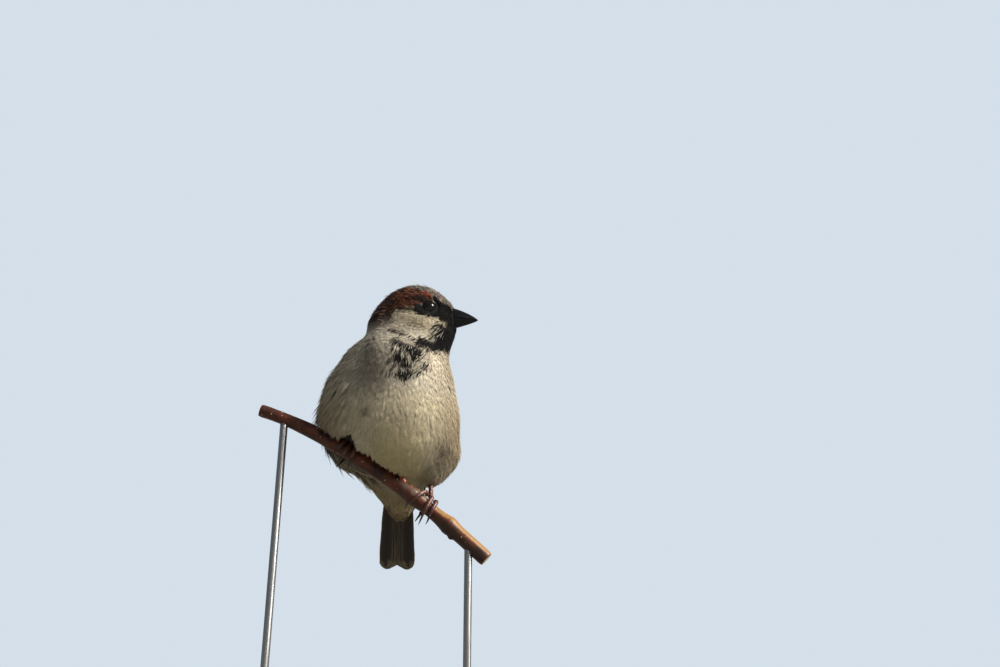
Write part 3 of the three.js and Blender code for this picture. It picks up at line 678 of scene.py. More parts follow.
for place, label in ((head_place(-4, -12, -9), "cheek"), ((4.0, -23.5, 28.6), "breast")):
    print(label, markings(np.array([place]))["colour"].round(3))

# %% [markdown]
# ## One skin
# The head, neck, trunk and thighs are separate solids with thin gaps between them. Copies of them, swollen
# just enough to touch, are remeshed into one closed skin. Each point is then moved to the coat's depth
# below the smooth form. Bare lids are spun as rings round the eyes and belong to the skin too.

# %% One skin
FLESH = ("head", "neck", "trunk", "thigh_left", "thigh_right")
skin_bm = bmesh.new()
for name in FLESH:
    skin_bm.from_mesh(nodes[name].data)
bmesh.ops.remove_doubles(skin_bm, verts=skin_bm.verts, dist=1e-6)
skin_bm.normal_update()
for vert in skin_bm.verts:
    vert.co += vert.normal * 0.35 * MM
rough_skin = save_mesh(skin_bm, "rough_skin")
remesh = rough_skin.modifiers.new("one_piece", "REMESH")
remesh.mode = "VOXEL"
remesh.voxel_size = 0.6 * MM
skin_mesh = bpy.data.meshes.new_from_object(rough_skin.evaluated_get(bpy.context.evaluated_depsgraph_get()))
bpy.data.objects.remove(rough_skin)


def mesh_points(mesh):
    flat = np.empty(len(mesh.vertices) * 3, np.float32)
    mesh.vertices.foreach_get("co", flat)
    return from_frame(flat.reshape(-1, 3))


def mesh_normals(mesh):
    flat = np.empty(len(mesh.vertices) * 3, np.float32)
    mesh.vertices.foreach_get("normal", flat)
    return flat.reshape(-1, 3).astype(float)


skin_points, skin_normals = mesh_points(skin_mesh), mesh_normals(skin_mesh)
on_form = ramp(-2.4, -1.0, flesh(skin_points))  # 0 in the eye sockets, the bill's root and over the twig
depth = coat_depth(skin_points) + 1.2 * ramp(-1, 3, wing_cover(skin_points))
down = settle(skin_points, -depth)
skin_points = (skin_points - skin_normals * 0.5) * (1 - on_form[:, None]) + down * on_form[:, None]
skin_mesh.vertices.foreach_set("co", in_frame(skin_points).astype(np.float32).ravel())
skin_bm = bmesh.new()
skin_bm.from_mesh(skin_mesh)
for _ in range(3):
    bmesh.ops.smooth_vert(skin_bm, verts=skin_bm.verts, factor=0.5, use_axis_x=True, use_axis_y=True, use_axis_z=True)


def column(sides, rings):
    """A closed round column of radius 1 whose rings stand one above the other, one unit apart."""
    bm = bmesh.new()
    bmesh.ops.create_circle(bm, cap_ends=True, radius=1, segments=sides)
    bm.faces.ensure_lookup_table()
    face = bm.faces[0]
    for ring in range(rings):
        grown = bmesh.ops.extrude_face_region(bm, geom=[face])
        if ring:  # the face that was extruded would stay inside as a wall
            bmesh.ops.delete(bm, geom=[face], context="FACES_ONLY")
        face = next(part for part in grown["geom"] if isinstance(part, bmesh.types.BMFace))
        bmesh.ops.translate(bm, verts=list(face.verts), vec=(0, 0, 1))
    bmesh.ops.recalc_face_normals(bm, faces=bm.faces)
    return bm


LID_RADIUS = 2.28
for side, eye in EYES.items():
    out = HEAD_LEFT * (1 if side == "left" else -1)
    ring = bmesh.new()
    height = math.sqrt(EYE_RADIUS ** 2 - LID_RADIUS ** 2)
    bmesh.ops.create_circle(ring, cap_ends=False, radius=0.24, segments=10)
    bmesh.ops.scale(ring, verts=ring.verts, vec=(1, 0.72, 1))
    bmesh.ops.rotate(ring, verts=ring.verts, cent=(0, 0, 0), matrix=Matrix.Rotation(math.pi / 2, 3, "X"))
    bmesh.ops.translate(ring, verts=ring.verts, vec=(LID_RADIUS + 0.1, 0, height + 0.05))
    bmesh.ops.spin(ring, geom=ring.verts[:] + ring.edges[:], cent=(0, 0, 0), axis=(0, 0, 1), angle=2 * math.pi, steps=40, use_merge=True)
    bmesh.ops.remove_doubles(ring, verts=ring.verts, dist=1e-5)
    bmesh.ops.recalc_face_normals(ring, faces=ring.faces)
    across = unit(HEAD_FORWARD)
    axes = np.stack([across, np.cross(out, across), out], 1)
    for vert in ring.verts:
        place = axes @ np.array(vert.co)
        vert.co = in_frame(eye + place)
    holder = bpy.data.meshes.new("lid")
    ring.to_mesh(holder)
    ring.free()
    skin_bm.from_mesh(holder)
skin = save_mesh(skin_bm, "skin")
skin_points = mesh_points(skin.data)
print("skin:", len(skin.data.polygons), "faces")


def paint_points(mesh, name, colours):
    layer = mesh.color_attributes.new(name, "FLOAT_COLOR", "POINT")
    rgba = np.ones((len(mesh.vertices), 4), np.float32)
    rgba[:, :3] = np.clip(colours, 0, 1)
    layer.data.foreach_set("color", rgba.ravel())


seen = markings(skin_points)
bare = blend(seen["colour"], INK["black"], np.clip(seen["inked"], 0, 1) * 0.8) * 0.65
# Painted shadow: the skin inside the feet's hollows is painted near-black.
shade = np.maximum.reduce([ramp(1.5, -1.0, lobe_distance(skin_points, room)) for room in FOOT_ROOMS + [FOOT_HOLLOW]])
paint_points(skin.data, "Coat", blend(bare, tone("120c0a"), shade * 0.95))

# %% [markdown]
# ## The pattern of barbs
# A feather's vane is a row of fine barbs that leave the shaft at a slant. Modelling each would take
# millions of faces, so the larger feathers carry them as slanting lines in one shared node group. Its
# Vane input runs from -1 to 1 across and from 0 to 1 along each feather, so the lines follow the vane.

# %% The pattern of barbs
def node_group(name, inputs, outputs):
    group = bpy.data.node_groups.new(name, "ShaderNodeTree")
    for label, kind, value in inputs:
        socket = group.interface.new_socket(label, in_out="INPUT", socket_type=kind)
        if value is not None:
            socket.default_value = value
    for label, kind in outputs:
        group.interface.new_socket(label, in_out="OUTPUT", socket_type=kind)
    return group, group.nodes.new("NodeGroupInput"), group.nodes.new("NodeGroupOutput")


def maths(tree, operation, a, b=None, clamp=False):
    node = tree.nodes.new("ShaderNodeMath")
    node.operation, node.use_clamp = operation, clamp
    for socket, value in zip(node.inputs, (a, b)):
        if value is None:
            continue
        if isinstance(value, (int, float)):
            socket.default_value = value
        else:
            tree.links.new(value, socket)
    return node.outputs[0]


def mixed(tree, factor, a, b, mode="MIX"):
    node = tree.nodes.new("ShaderNodeMix")
    node.data_type, node.blend_type = "RGBA", mode
    for label, value in (("Factor_Float", factor), ("A_Color", a), ("B_Color", b)):
        socket = next(s for s in node.inputs if s.identifier == label)
        if isinstance(value, (int, float)):
            socket.default_value = value
        elif isinstance(value, (tuple, list, np.ndarray)):
            socket.default_value = (*value[:3], 1)
        else:
            tree.links.new(value, socket)
    return next(s for s in node.outputs if s.identifier == "Result_Color")


barbs, barbs_in, barbs_out = node_group(
    "barb_lines",
    [("Color", "NodeSocketColor", (1, 1, 1, 1)), ("Vane", "NodeSocketVector", None),
     ("Lines", "NodeSocketFloat", 24.0), ("Slant", "NodeSocketFloat", 5.0), ("Contrast", "NodeSocketFloat", 0.25)],
    [("Color", "NodeSocketColor"), ("Height", "NodeSocketFloat")],
)
split = barbs.nodes.new("ShaderNodeSeparateXYZ")
barbs.links.new(barbs_in.outputs["Vane"], split.inputs[0])
off_shaft = maths(barbs, "ABSOLUTE", split.outputs["X"])
slanted = maths(barbs, "SUBTRACT", maths(barbs, "MULTIPLY", split.outputs["Y"], barbs_in.outputs["Lines"]),
                maths(barbs, "MULTIPLY", off_shaft, barbs_in.outputs["Slant"]))
wave = maths(barbs, "MULTIPLY_ADD", maths(barbs, "SINE", maths(barbs, "MULTIPLY", slanted, 6.2832)), 0.5)
wave.node.inputs[2].default_value = 0.5
shaft = maths(barbs, "SUBTRACT", 1.0, maths(barbs, "MULTIPLY", off_shaft, 14.0), clamp=True)
dim = maths(barbs, "SUBTRACT", 1.0, maths(barbs, "MULTIPLY", maths(barbs, "SUBTRACT", 1.0, wave), barbs_in.outputs["Contrast"]))
grey = barbs.nodes.new("ShaderNodeCombineColor")
for channel in ("Red", "Green", "Blue"):
    barbs.links.new(dim, grey.inputs[channel])
barbs.links.new(mixed(barbs, 1.0, barbs_in.outputs["Color"], grey.outputs[0], "MULTIPLY"), barbs_out.inputs["Color"])
barbs.links.new(maths(barbs, "ADD", maths(barbs, "MULTIPLY", wave, 0.5), maths(barbs, "MULTIPLY", shaft, 1.5)), barbs_out.inputs["Height"])


def new_material(name, roughness, **settings):
    material = bpy.data.materials.new(name)
    material.use_nodes = True
    shader = material.node_tree.nodes["Principled BSDF"]
    shader.inputs["Roughness"].default_value = roughness
    for label, value in settings.items():
        shader.inputs[label.replace("_", " ")].default_value = value
    return material, material.node_tree, shader


def attribute(tree, name, output):
    node = tree.nodes.new("ShaderNodeAttribute")
    node.attribute_name = name
    return node.outputs[output]


def placed(tree, group, **values):
    node = tree.nodes.new("ShaderNodeGroup")
    node.node_tree = group
    for label, value in values.items():
        if isinstance(value, bpy.types.NodeSocket):
            tree.links.new(value, node.inputs[label])
        else:
            node.inputs[label].default_value = value
    return node


def bumped(tree, shader, height, distance, strength=1.0):
    bump = tree.nodes.new("ShaderNodeBump")
    bump.inputs["Distance"].default_value = distance
    bump.inputs["Strength"].default_value = strength
    tree.links.new(height, bump.inputs["Height"])
    tree.links.new(bump.outputs["Normal"], shader.inputs["Normal"])


def feather_material(name, roughness, lines, slant, contrast, relief, **settings):
    material, tree, shader = new_material(name, roughness, **settings)
    lined = placed(tree, barbs, Color=attribute(tree, "Coat", "Color"), Vane=attribute(tree, "Vane", "Vector"),
                   Lines=lines, Slant=slant, Contrast=contrast)
    tree.links.new(lined.outputs["Color"], shader.inputs["Base Color"])
    bumped(tree, shader, lined.outputs["Height"], relief * MM)
    return material


DOWNY = feather_material("downy_feather", 0.85, 7.0, 8.0, 0.16, 0.008, Specular_IOR_Level=0.08, Sheen_Weight=0.05, Sheen_Roughness=0.5)
VANED = feather_material("flight_feather", 0.6, 150.0, 16.0, 0.14, 0.012, Specular_IOR_Level=0.25)

skin_look, tree, shader = new_material("skin_and_down", 0.85, Specular_IOR_Level=0.2)
down_noise = tree.nodes.new("ShaderNodeTexNoise")
down_noise.inputs["Scale"].default_value = 2200
down_noise.inputs["Detail"].default_value = 3
place = tree.nodes.new("ShaderNodeTexCoord")
tree.links.new(place.outputs["Object"], down_noise.inputs["Vector"])
tree.links.new(mixed(tree, 0.25, attribute(tree, "Coat", "Color"), down_noise.outputs["Color"], "MULTIPLY"), shader.inputs["Base Color"])
bumped(tree, shader, down_noise.outputs["Fac"], 0.15 * MM)
skin.data.materials.append(skin_look)

# %% [markdown]
# ## Feather templates
# Each small feather is a closed thin vane with a few loose barbs at its end. The vane starts as a
# four-sided column: its corners become the two edges, the raised shaft and the hollow underside. A barb is
# a three-sided cone. A template keeps, for each point, how far across, along and up it lies on any feather.

# %% Feather templates
def outline(kind, along):
    """Half the width of a feather, as a share of its widest, at shares of its length."""
    shapes = {
        "contour": ([0, 0.12, 0.35, 0.6, 0.8, 0.92, 1], [0.18, 0.45, 0.85, 1.0, 0.88, 0.55, 0.08]),
        "tuft": ([0, 0.3, 0.6, 0.8, 0.9], [0.3, 0.85, 0.9, 0.45, 0.05]),
        "plume": ([0, 0.2, 0.5, 0.72, 0.88], [0.2, 0.75, 1.0, 0.6, 0.05]),
        "flight": ([0, 0.08, 0.3, 0.7, 0.88, 0.96, 1], [0.3, 0.6, 0.9, 1.0, 0.82, 0.5, 0.12]),
        "long": ([0, 0.06, 0.25, 0.6, 0.85, 0.95, 1], [0.3, 0.7, 0.95, 0.95, 0.66, 0.36, 0.08]),
        "rudder": ([0, 0.06, 0.3, 0.8, 0.93, 0.98, 1], [0.35, 0.6, 0.85, 1.0, 0.92, 0.62, 0.25]),
    }
    return np.interp(along, *shapes[kind])


def template(kind, stations, barb_count, barb_reach, seed, sides=4):
    rng = np.random.default_rng(seed)
    bm = column(sides, len(stations) - 1)
    across, along, up, barb = [], [], [], []
    for vert in bm.verts:
        share = stations[round(vert.co.z)]
        angle = math.atan2(vert.co.x, vert.co.y)  # 0 at the shaft, 90 degrees at an edge
        width = float(outline(kind, share))
        ragged = 1 - 0.08 * rng.random() * (abs(math.sin(angle)) > 0.9)
        across.append(math.sin(angle) * width * ragged)
        along.append(share)
        up.append(math.cos(angle) * (0.35 + 0.65 * (1 - share)) if abs(math.cos(angle)) > 0.9 else 0.35 * math.cos(angle))
        barb.append(0)
    faces = [[vert.index for vert in face.verts] for face in bm.faces]
    bm.free()
    for i in range(barb_count):
        spike = bmesh.new()
        bmesh.ops.create_cone(spike, cap_ends=True, segments=3, radius1=1, radius2=0, depth=1)
        spread = 2 * (i + 0.5) / barb_count - 1 + rng.uniform(-0.6, 0.6) / barb_count
        root = np.array([spread * 0.62, 0.60 - 0.16 * abs(spread) + rng.uniform(-0.07, 0.07)])
        tip = np.array([spread * rng.uniform(0.85, 1.1), 1 + barb_reach * (rng.uniform(0.1, 1) - 1.3 * spread ** 2)])
        first = len(across)
        for vert in spike.verts:
            end = vert.co.z > 0
            base = tip if end else root
            across.append(base[0] + (0 if end else vert.co.x * 0.13))
            along.append(base[1])
            up.append(rng.uniform(-0.4, 0.9) if end else 0.35 + vert.co.y * 0.5)
            barb.append(i + 1)
        faces += [[first + vert.index for vert in face.verts] for face in spike.faces]
        spike.free()
    return {
        "across": np.array(across), "along": np.array(along), "up": np.array(up), "barb": np.array(barb),
        "size": np.array([len(face) for face in faces]), "corner": np.concatenate(faces),
        "shade": 1 + np.concatenate([[0], 0.05 * rng.normal(size=barb_count)]),
    }


SHORT = [0, 0.4, 0.72, 0.9]
MEDIUM = [0, 0.3, 0.6, 0.88]
FULL = [0, 0.3, 0.6, 0.82, 0.96]
TEMPLATES = {
    "tuft": [template("tuft", SHORT, 9, 0.22, seed, sides=3) for seed in (11, 12, 13, 14)],
    "contour": [template("contour", FULL, 12, 0.10, seed, sides=4) for seed in (21, 22, 23, 24, 25)],
    "plume": [template("plume", MEDIUM, 17, 0.16, seed, sides=3) for seed in (31, 32, 33, 34)],
}
for kind, made in TEMPLATES.items():
    print(kind, "triangles:", int((made[0]["size"] - 2).sum()))


# %% [markdown]
# ## Laying feathers
# Every feather has a spine of a few stations that creeps over the form, rising from the skin at its root to
# the coat's level at its tip, so that each rests on the next like a shingle. The template is bent along that
# spine. Its shading normals lean towards the body's own, which is what makes a coat look soft and not scaly.
# Each feather's patch on its OFBake map lies at its root's place on the unrolled skin.

# %% Laying feathers
PATCH = 0.003


def along_spine(spine, along):
    """Places between a spine's stations, and past its last one, for each share along."""
    last = spine.shape[1] - 1
    at = np.asarray(along) * last
    low = np.clip(np.floor(at).astype(int), 0, last - 1)
    t = (at - low)[None, :, None]
    return spine[:, low] * (1 - t) + spine[:, low + 1] * t


def shaped(spine, normal, template_, half, thick, cup, roll):
    """One template bent along each spine: points, and the form's normal at each."""
    tangent = np.gradient(spine, axis=1)
    side = unit(np.cross(tangent, normal))
    normal = unit(np.cross(side, tangent))
    c, s = np.cos(roll)[:, None, None], np.sin(roll)[:, None, None]
    side, normal = side * c + normal * s, normal * c - side * s
    a = template_["across"][None, :, None] * half[:, None, None]
    rise = template_["up"][None, :, None] * thick[:, None, None] - cup * a * a / np.maximum(half[:, None, None], 0.1)
    way = along_spine(normal, np.minimum(template_["along"], 1))
    points = along_spine(spine, template_["along"]) + along_spine(side, np.minimum(template_["along"], 1)) * a + way * rise
    return points, way


def feather_piece(name, batches, soft, material, replaces=()):
    """Joins batches of shaped feathers in one mesh with its colours, vane places, OFBake map and normals."""
    co, colour, vane, way, corner, size, patch = [], [], [], [], [], [], []
    count = 0
    for points, ways, paint, template_, seeds, roots in batches:
        n, m = points.shape[:2]
        co.append(points.reshape(-1, 3))
        way.append(ways.reshape(-1, 3))
        colour.append(paint.reshape(-1, 3))
        places = np.stack([np.broadcast_to(template_["across"], (n, m)), np.broadcast_to(template_["along"], (n, m)),
                           np.broadcast_to(seeds[:, None], (n, m))], -1)
        vane.append(places.reshape(-1, 3))
        corner.append((template_["corner"][None] + (np.arange(n) * m)[:, None] + count).ravel())
        size.append(np.tile(template_["size"], n))
        local = np.stack([template_["across"] * 0.38 + template_["up"] * 0.10,
                          (template_["along"] / 1.25 - 0.5) * 0.8 + template_["up"] * 0.07], -1) * PATCH
        patch.append((roots[:, None] + local[None]).reshape(-1, 2))
        count += n * m
    co, colour, vane, way, corner, size, patch = map(np.concatenate, (co, colour, vane, way, corner, size, patch))
    mesh = bpy.data.meshes.new(name)
    mesh.vertices.add(len(co))
    mesh.vertices.foreach_set("co", in_frame(co).astype(np.float32).ravel())
    mesh.loops.add(len(corner))
    mesh.loops.foreach_set("vertex_index", corner.astype(np.int32))
    mesh.polygons.add(len(size))
    mesh.polygons.foreach_set("loop_start", np.concatenate([[0], np.cumsum(size)[:-1]]).astype(np.int32))
    mesh.polygons.foreach_set("use_smooth", np.ones(len(size), bool))
    mesh.update(calc_edges=True)
    paint_points(mesh, "Coat", colour)
    layer = mesh.attributes.new("Vane", "FLOAT_VECTOR", "POINT")
    layer.data.foreach_set("vector", vane.astype(np.float32).ravel())
    uv = mesh.uv_layers.new(name="OFBake")
    uv.data.foreach_set("uv", patch[corner].astype(np.float32).ravel())
    flat = np.empty(len(size) * 3, np.float32)
    mesh.polygons.foreach_get("normal", flat)
    flat = np.repeat(flat.reshape(-1, 3), size, axis=0)
    own = np.empty(len(co) * 3, np.float32)
    mesh.vertices.foreach_get("normal", own)
    own, form_way = own.reshape(-1, 3)[corner], way[corner]
    form_way = form_way * np.where(dot(flat, form_way) < -0.55, -1, 1)  # only true undersides face in
    mesh.normals_split_custom_set(unit(form_way * soft + own * (1 - soft)))
    made = bpy.data.objects.new(name, mesh)
    scene.collection.objects.link(made)
    mesh.materials.append(material)
    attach(made, "root")
    if replaces:
        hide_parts(*replaces)
    triangles = int((size - 2).sum())
    print(f"{name}: {triangles} triangles")
    return triangles


def unrolled(points, middle, axis, start):
    """The skin unrolled round an axis: an angle and a height, spread to fill the square."""
    axis = unit(np.asarray(axis, float))
    start = unit(np.asarray(start, float) - axis * (np.asarray(start) @ axis))
    other = np.cross(axis, start)
    local = points - middle
    angle = np.arctan2(local @ other, local @ start)
    flat = np.stack([angle, local @ axis], -1)
    low, high = flat.min(0), flat.max(0)
    return 0.03 + 0.94 * (flat - low) / np.maximum(high - low, 1e-6)


# %% [markdown]
# ## Scattering the roots
# Roots are picked at random over the skin, then thinned so that no two are closer than the spacing that
# their place asks for. The seed is fixed, so the bird is the same each time.

# %% Scattering the roots
SPARSE = 1.0
skin.data.calc_loop_triangles()
tri = np.empty(len(skin.data.loop_triangles) * 3, np.int32)
skin.data.loop_triangles.foreach_get("vertices", tri)
tri_points = skin_points[tri.reshape(-1, 3)]
tri_middle = tri_points.mean(1)
tri_area = np.linalg.norm(np.cross(tri_points[:, 1] - tri_points[:, 0], tri_points[:, 2] - tri_points[:, 0]), axis=1) / 2


def feathered(points):
    """True where feathers grow: not on the lids, under the bill, under the wings or in the feet's hollows."""
    keep = flesh(points) > -coat_depth(points) - 1.7
    for eye in EYES.values():
        keep &= np.linalg.norm(points - eye, axis=-1) > 3.25
    head = (points - HEAD_MIDDLE) @ HEAD_TURN
    keep &= ~((head[..., 0] > 6.3) & (np.hypot(head[..., 1] / 3.5, (head[..., 2] + 1.9) / 4.4) < 0.97))
    keep &= wing_cover(points) < 3.0
    for room in FOOT_ROOMS + [FOOT_HOLLOW]:
        keep &= lobe_distance(points, room) > -0.3
    return keep & (below_shelf(points) < 0.6)


rng = np.random.default_rng(7)
spacing = feather_spacing(tri_middle) * SPARSE
weight = np.where(feathered(tri_middle), tri_area / spacing ** 2, 0)
picks = int(weight.sum() * 3.2)
chosen = rng.choice(len(weight), picks, p=weight / weight.sum())
mix = rng.random((picks, 2))
mix = np.where(mix.sum(1, keepdims=True) > 1, 1 - mix, mix)
corners = tri_points[chosen]
candidates = corners[:, 0] + (corners[:, 1] - corners[:, 0]) * mix[:, :1] + (corners[:, 2] - corners[:, 0]) * mix[:, 1:]
tree_of_roots = KDTree(picks)
for i, point in enumerate(candidates):
    tree_of_roots.insert(point, i)
tree_of_roots.balance()
free = np.ones(picks, bool)
kept = []
reach_of = feather_spacing(candidates) * SPARSE * 0.86
for i in range(picks):
    if free[i]:
        kept.append(i)
        for _, j, _ in tree_of_roots.find_range(candidates[i], reach_of[i]):
            free[j] = False
roots = candidates[kept]
roots = roots[feathered(roots)]
print(len(roots), "small feathers")


# %% [markdown]
# ## The lie of the coat
# Feathers point away from the bill over the head and towards the tail over the body, and part round the
# eyes. Where a feather would reach over the twig it is shortened. Near a wing's edge the coat rises over
# it, as the loose flank feathers do on a bird that sits fluffed up in the cold.

# %% The lie of the coat
VENT = np.array([1.0, 27, -3])


def lie(points, normals):
    away = unit(points - BILL_ROOT)
    headness = 0.22 + 0.78 * ramp(42, 16, from_bill(points))[..., None]
    flow = away * headness + unit(VENT - points) * (1 - headness)
    for eye in EYES.values():
        off = points - eye
        near = np.linalg.norm(off, axis=-1)
        flow = flow + unit(off) * (3.2 * ramp(5.6, 3.1, near))[..., None]
    swirl = np.stack([mottle(points, 9, 41 + i) for i in range(3)], -1) * 0.16
    flow = flow + swirl
    return unit(flow - normals * dot(flow, normals))


def coat_level(points):
    return -0.1 + 0.15 * ramp(8, 40, from_bill(points)) + 0.5 * ramp(-4.5, 1.5, wing_cover(points))


def crept_spines(roots, lengths, stations, level_at, lift):
    """Spines that creep over the form from their roots. lift lets the ends stand off."""
    spine, normals = [roots], [outward(roots)]
    start = flesh(roots)
    for k in range(1, stations):
        share = k / (stations - 1)
        here = spine[-1]
        step = lie(here, normals[-1]) * (lengths / (stations - 1))[:, None]
        there = here + step
        level = start + (level_at(there) - start) * (1 - (1 - share) ** 1.5) + lift * share ** 2
        there = settle(there, level, rounds=2)
        spine.append(there)
        normals.append(outward(there))
    return np.stack(spine, 1), np.stack(normals, 1)


def shortened(roots, lengths):
    """Cuts the lengths of feathers that would hang in front of the twig or into it."""
    spine, _ = crept_spines(roots, lengths, 6, coat_level, np.zeros(len(roots)))
    low = below_shelf(spine) > 0.5
    rooms = np.minimum.reduce([lobe_distance(spine, room) for room in FOOT_ROOMS + [FOOT_HOLLOW]]) < -0.6
    bad = low | rooms | (off_twig(spine) < 0.1)
    first = np.where(bad.any(1), bad.argmax(1), 6)
    return lengths * np.clip((first - 0.6) / 5, 0, 1), first >= 2


lengths = feather_length(roots) * rng.uniform(0.85, 1.15, len(roots))
lengths, keep = shortened(roots, lengths)
roots, lengths = roots[keep], lengths[keep]
print(len(roots), "after clearing the twig and feet")


# %% [markdown]
# ## Coat pieces
# The coat is made in regions, as a taxidermist names them, so each stays a mesh of sensible size. What
# differs between them is how long, loose and broad the feathers are. Colour comes from where a feather's
# tip shows, with a darker middle, a paler tip and a little chance from feather to feather.

# %% Coat pieces
def painted(places, template_, rng):
    """A colour for each point of each feather whose tip shows at a place."""
    coat = markings(places)
    n = len(places)
    u, v, barb = template_["across"], template_["along"], template_["barb"]
    colour, middle, tip = (coat[part][:, None] * np.ones((1, len(u), 1)) for part in ("colour", "middle", "tip"))
    near_shaft = (np.exp(-((u / 0.35) ** 2)) * ramp(1.02, 0.7, v))[None, :, None] * coat["middle_share"][:, None, None]
    near_tip = ramp(0.90, 1.05, v)[None, :, None] * coat["tip_share"][:, None, None]
    paint = colour * (1 - near_shaft) + middle * near_shaft
    paint = paint * (1 - near_tip) + tip * near_tip
    chance = 1 + coat["uneven"][:, None, None] * rng.normal(size=(n, 1, 1))
    warm = 1 + 0.25 * coat["uneven"][:, None, None] * rng.normal(size=(n, 1, 3))
    # Painted shade: each feather is painted darker towards its root, where the feathers over it would shade it.
    painted_root_shade = (0.86 + 0.14 * ramp(0.3, 0.85, v))[None, :, None]
    return paint * np.clip(chance, 0.3, 1.5) * warm * painted_root_shade * template_["shade"][barb][None, :, None]


def coat_piece(name, where, kind, soft, looseness, wide, middle, axis, start, replaces=(), stretch=1.0, fat=0.035):
    picked = np.nonzero(where)[0]
    rng = np.random.default_rng(len(name) * 101 + len(picked))
    r, size = roots[picked], lengths[picked] * stretch
    loose = looseness(r) if callable(looseness) else np.full(len(r), looseness)
    lift = np.abs(rng.normal(size=len(r))) * loose
    spine, normals = crept_spines(r, size, 5, coat_level, lift)
    side = unit(np.cross(np.gradient(spine, axis=1), normals))
    spine = spine + side * (rng.normal(size=len(r)) * 0.05 * size)[:, None, None] * (np.linspace(0, 1, 5) ** 2)[None, :, None]
    half = (0.13 + wide * size) * rng.uniform(0.85, 1.15, len(r))
    places = unrolled(r, middle, axis, start)
    variant = rng.integers(len(TEMPLATES[kind]), size=len(r))
    batches = []
    for index, template_ in enumerate(TEMPLATES[kind]):
        mine = np.nonzero(variant == index)[0]
        if not len(mine):
            continue
        points, ways = shaped(spine[mine], normals[mine], template_, half[mine], np.full(len(mine), fat) + 0.003 * size[mine],
                              0.06, rng.normal(size=len(mine)) * 0.06)
        tips = along_spine(spine[mine], [0.93])[:, 0]
        tips = tips + rng.normal(size=tips.shape) * 0.12
        paint = painted(tips, template_, rng)
        batches.append((points, ways, paint, template_, rng.random(len(mine)), places[mine]))
    return feather_piece(name, batches, soft, DOWNY, replaces)


head = (roots - HEAD_MIDDLE) @ HEAD_TURN
hf, hl, hu = head.T
x, y, z = roots.T
on_head = from_bill(roots) < 26 + 6 * ramp(-4, 4, hu)
rise = np.degrees(np.arctan2(hu + 1.5, np.abs(hl)))
crown = on_head & (rise > 12)
face = on_head & ~crown & (hf > -14.5)
nape = on_head & ~crown & ~face
neck = ~on_head & (z > 50)
tail_local = (roots - TAIL_ROOT) @ TAIL_TURN
vent = ~on_head & ~neck & (tail_local[:, 1] > -5) & (tail_local[:, 2] < 1) & (z < 12)
rump = ~on_head & ~neck & ~vent & (y > 13) & (z < 34)
mantle = ~on_head & ~neck & ~vent & ~rump & (y > 4) & (z > 24)
rest = ~(on_head | neck | vent | rump | mantle)
flank_right = rest & (x < -17)
flank_left = rest & (x > 13)
breast = rest & ~flank_right & ~flank_left & (z > 27)
belly = rest & ~flank_right & ~flank_left & ~breast
SPINE_AXIS = unit(np.array([0, -0.57, 0.82]))
BODY_MIDDLE = body_place(0, 3, 30)
HEAD_CORE = head_place(-6, 0, -4)
made = 0
made += coat_piece("coat_crown", crown, "tuft", 0.7, 0.30, 0.15, HEAD_CORE, HEAD_FORWARD, HEAD_TURN[:, 2], ("head",))
made += coat_piece("coat_face", face, "tuft", 0.8, 0.06, 0.15, HEAD_CORE, HEAD_FORWARD, -HEAD_TURN[:, 2])
made += coat_piece("coat_nape", nape, "contour", 0.6, 0.42, 0.15, HEAD_CORE, HEAD_FORWARD, HEAD_TURN[:, 2])
made += coat_piece("coat_neck", neck, "plume", 0.85, 0.10, 0.13, BODY_MIDDLE, (0, 0, 1), (0, -1, 0), ("neck",))
made += coat_piece("coat_breast", breast, "plume", 0.95, 0.05, 0.13, BODY_MIDDLE, SPINE_AXIS, (0, -1, 0), ("trunk",))
made += coat_piece("coat_belly", belly, "plume", 0.9, 0.12, 0.13, BODY_MIDDLE, SPINE_AXIS, (0, -1, 0))
made += coat_piece("coat_flank_right", flank_right, "plume", 0.8, 0.5, 0.12, BODY_MIDDLE, SPINE_AXIS, (-1, 0, 0), ("thigh_right",), 1.15)
made += coat_piece("coat_flank_left", flank_left, "plume", 0.92, 0.1, 0.12, BODY_MIDDLE, SPINE_AXIS, (1, 0, 0), ("thigh_left",), 1.05)
made += coat_piece("coat_mantle", mantle, "contour", 0.5, 0.12, 0.16, BODY_MIDDLE, SPINE_AXIS, (0, 1, 0))
made += coat_piece("coat_rump", rump, "contour", 0.6, 0.15, 0.15, BODY_MIDDLE, SPINE_AXIS, (0, 1, 0))
made += coat_piece("coat_vent", vent, "contour", 0.6, 0.15, 0.15, tail_place((0, 0, 0)), TAIL_TURN[:, 1], (0, 0, -1), (), 1.1)
thinned = np.random.default_rng(77).random(len(roots)) < 0.3
wisps = ~on_head & thinned & (x < -15) & (z < 34) & (y > -8) & (y < 24)
made += coat_piece("coat_wisps", wisps, "plume", 0.7, 1.3, 0.09, BODY_MIDDLE, SPINE_AXIS, (-1, 0, 0), (), 1.35)



def fine_tufts(name, spine, normals, half, rng, colours, middle):
    """Fine tufts along given spines, each in one colour."""
    count = len(spine)
    points, ways = shaped(spine, normals, FINE, half, np.full(count, 0.03), 0.03, rng.normal(size=count) * 0.15)
    paint = colours[:, None] * np.ones((1, len(FINE["along"]), 1))
    places = unrolled(spine[:, 0], middle, HEAD_FORWARD, HEAD_TURN[:, 2])
    return feather_piece(name, [(points, ways, paint, FINE, rng.random(count), places)], 0.7, DOWNY)


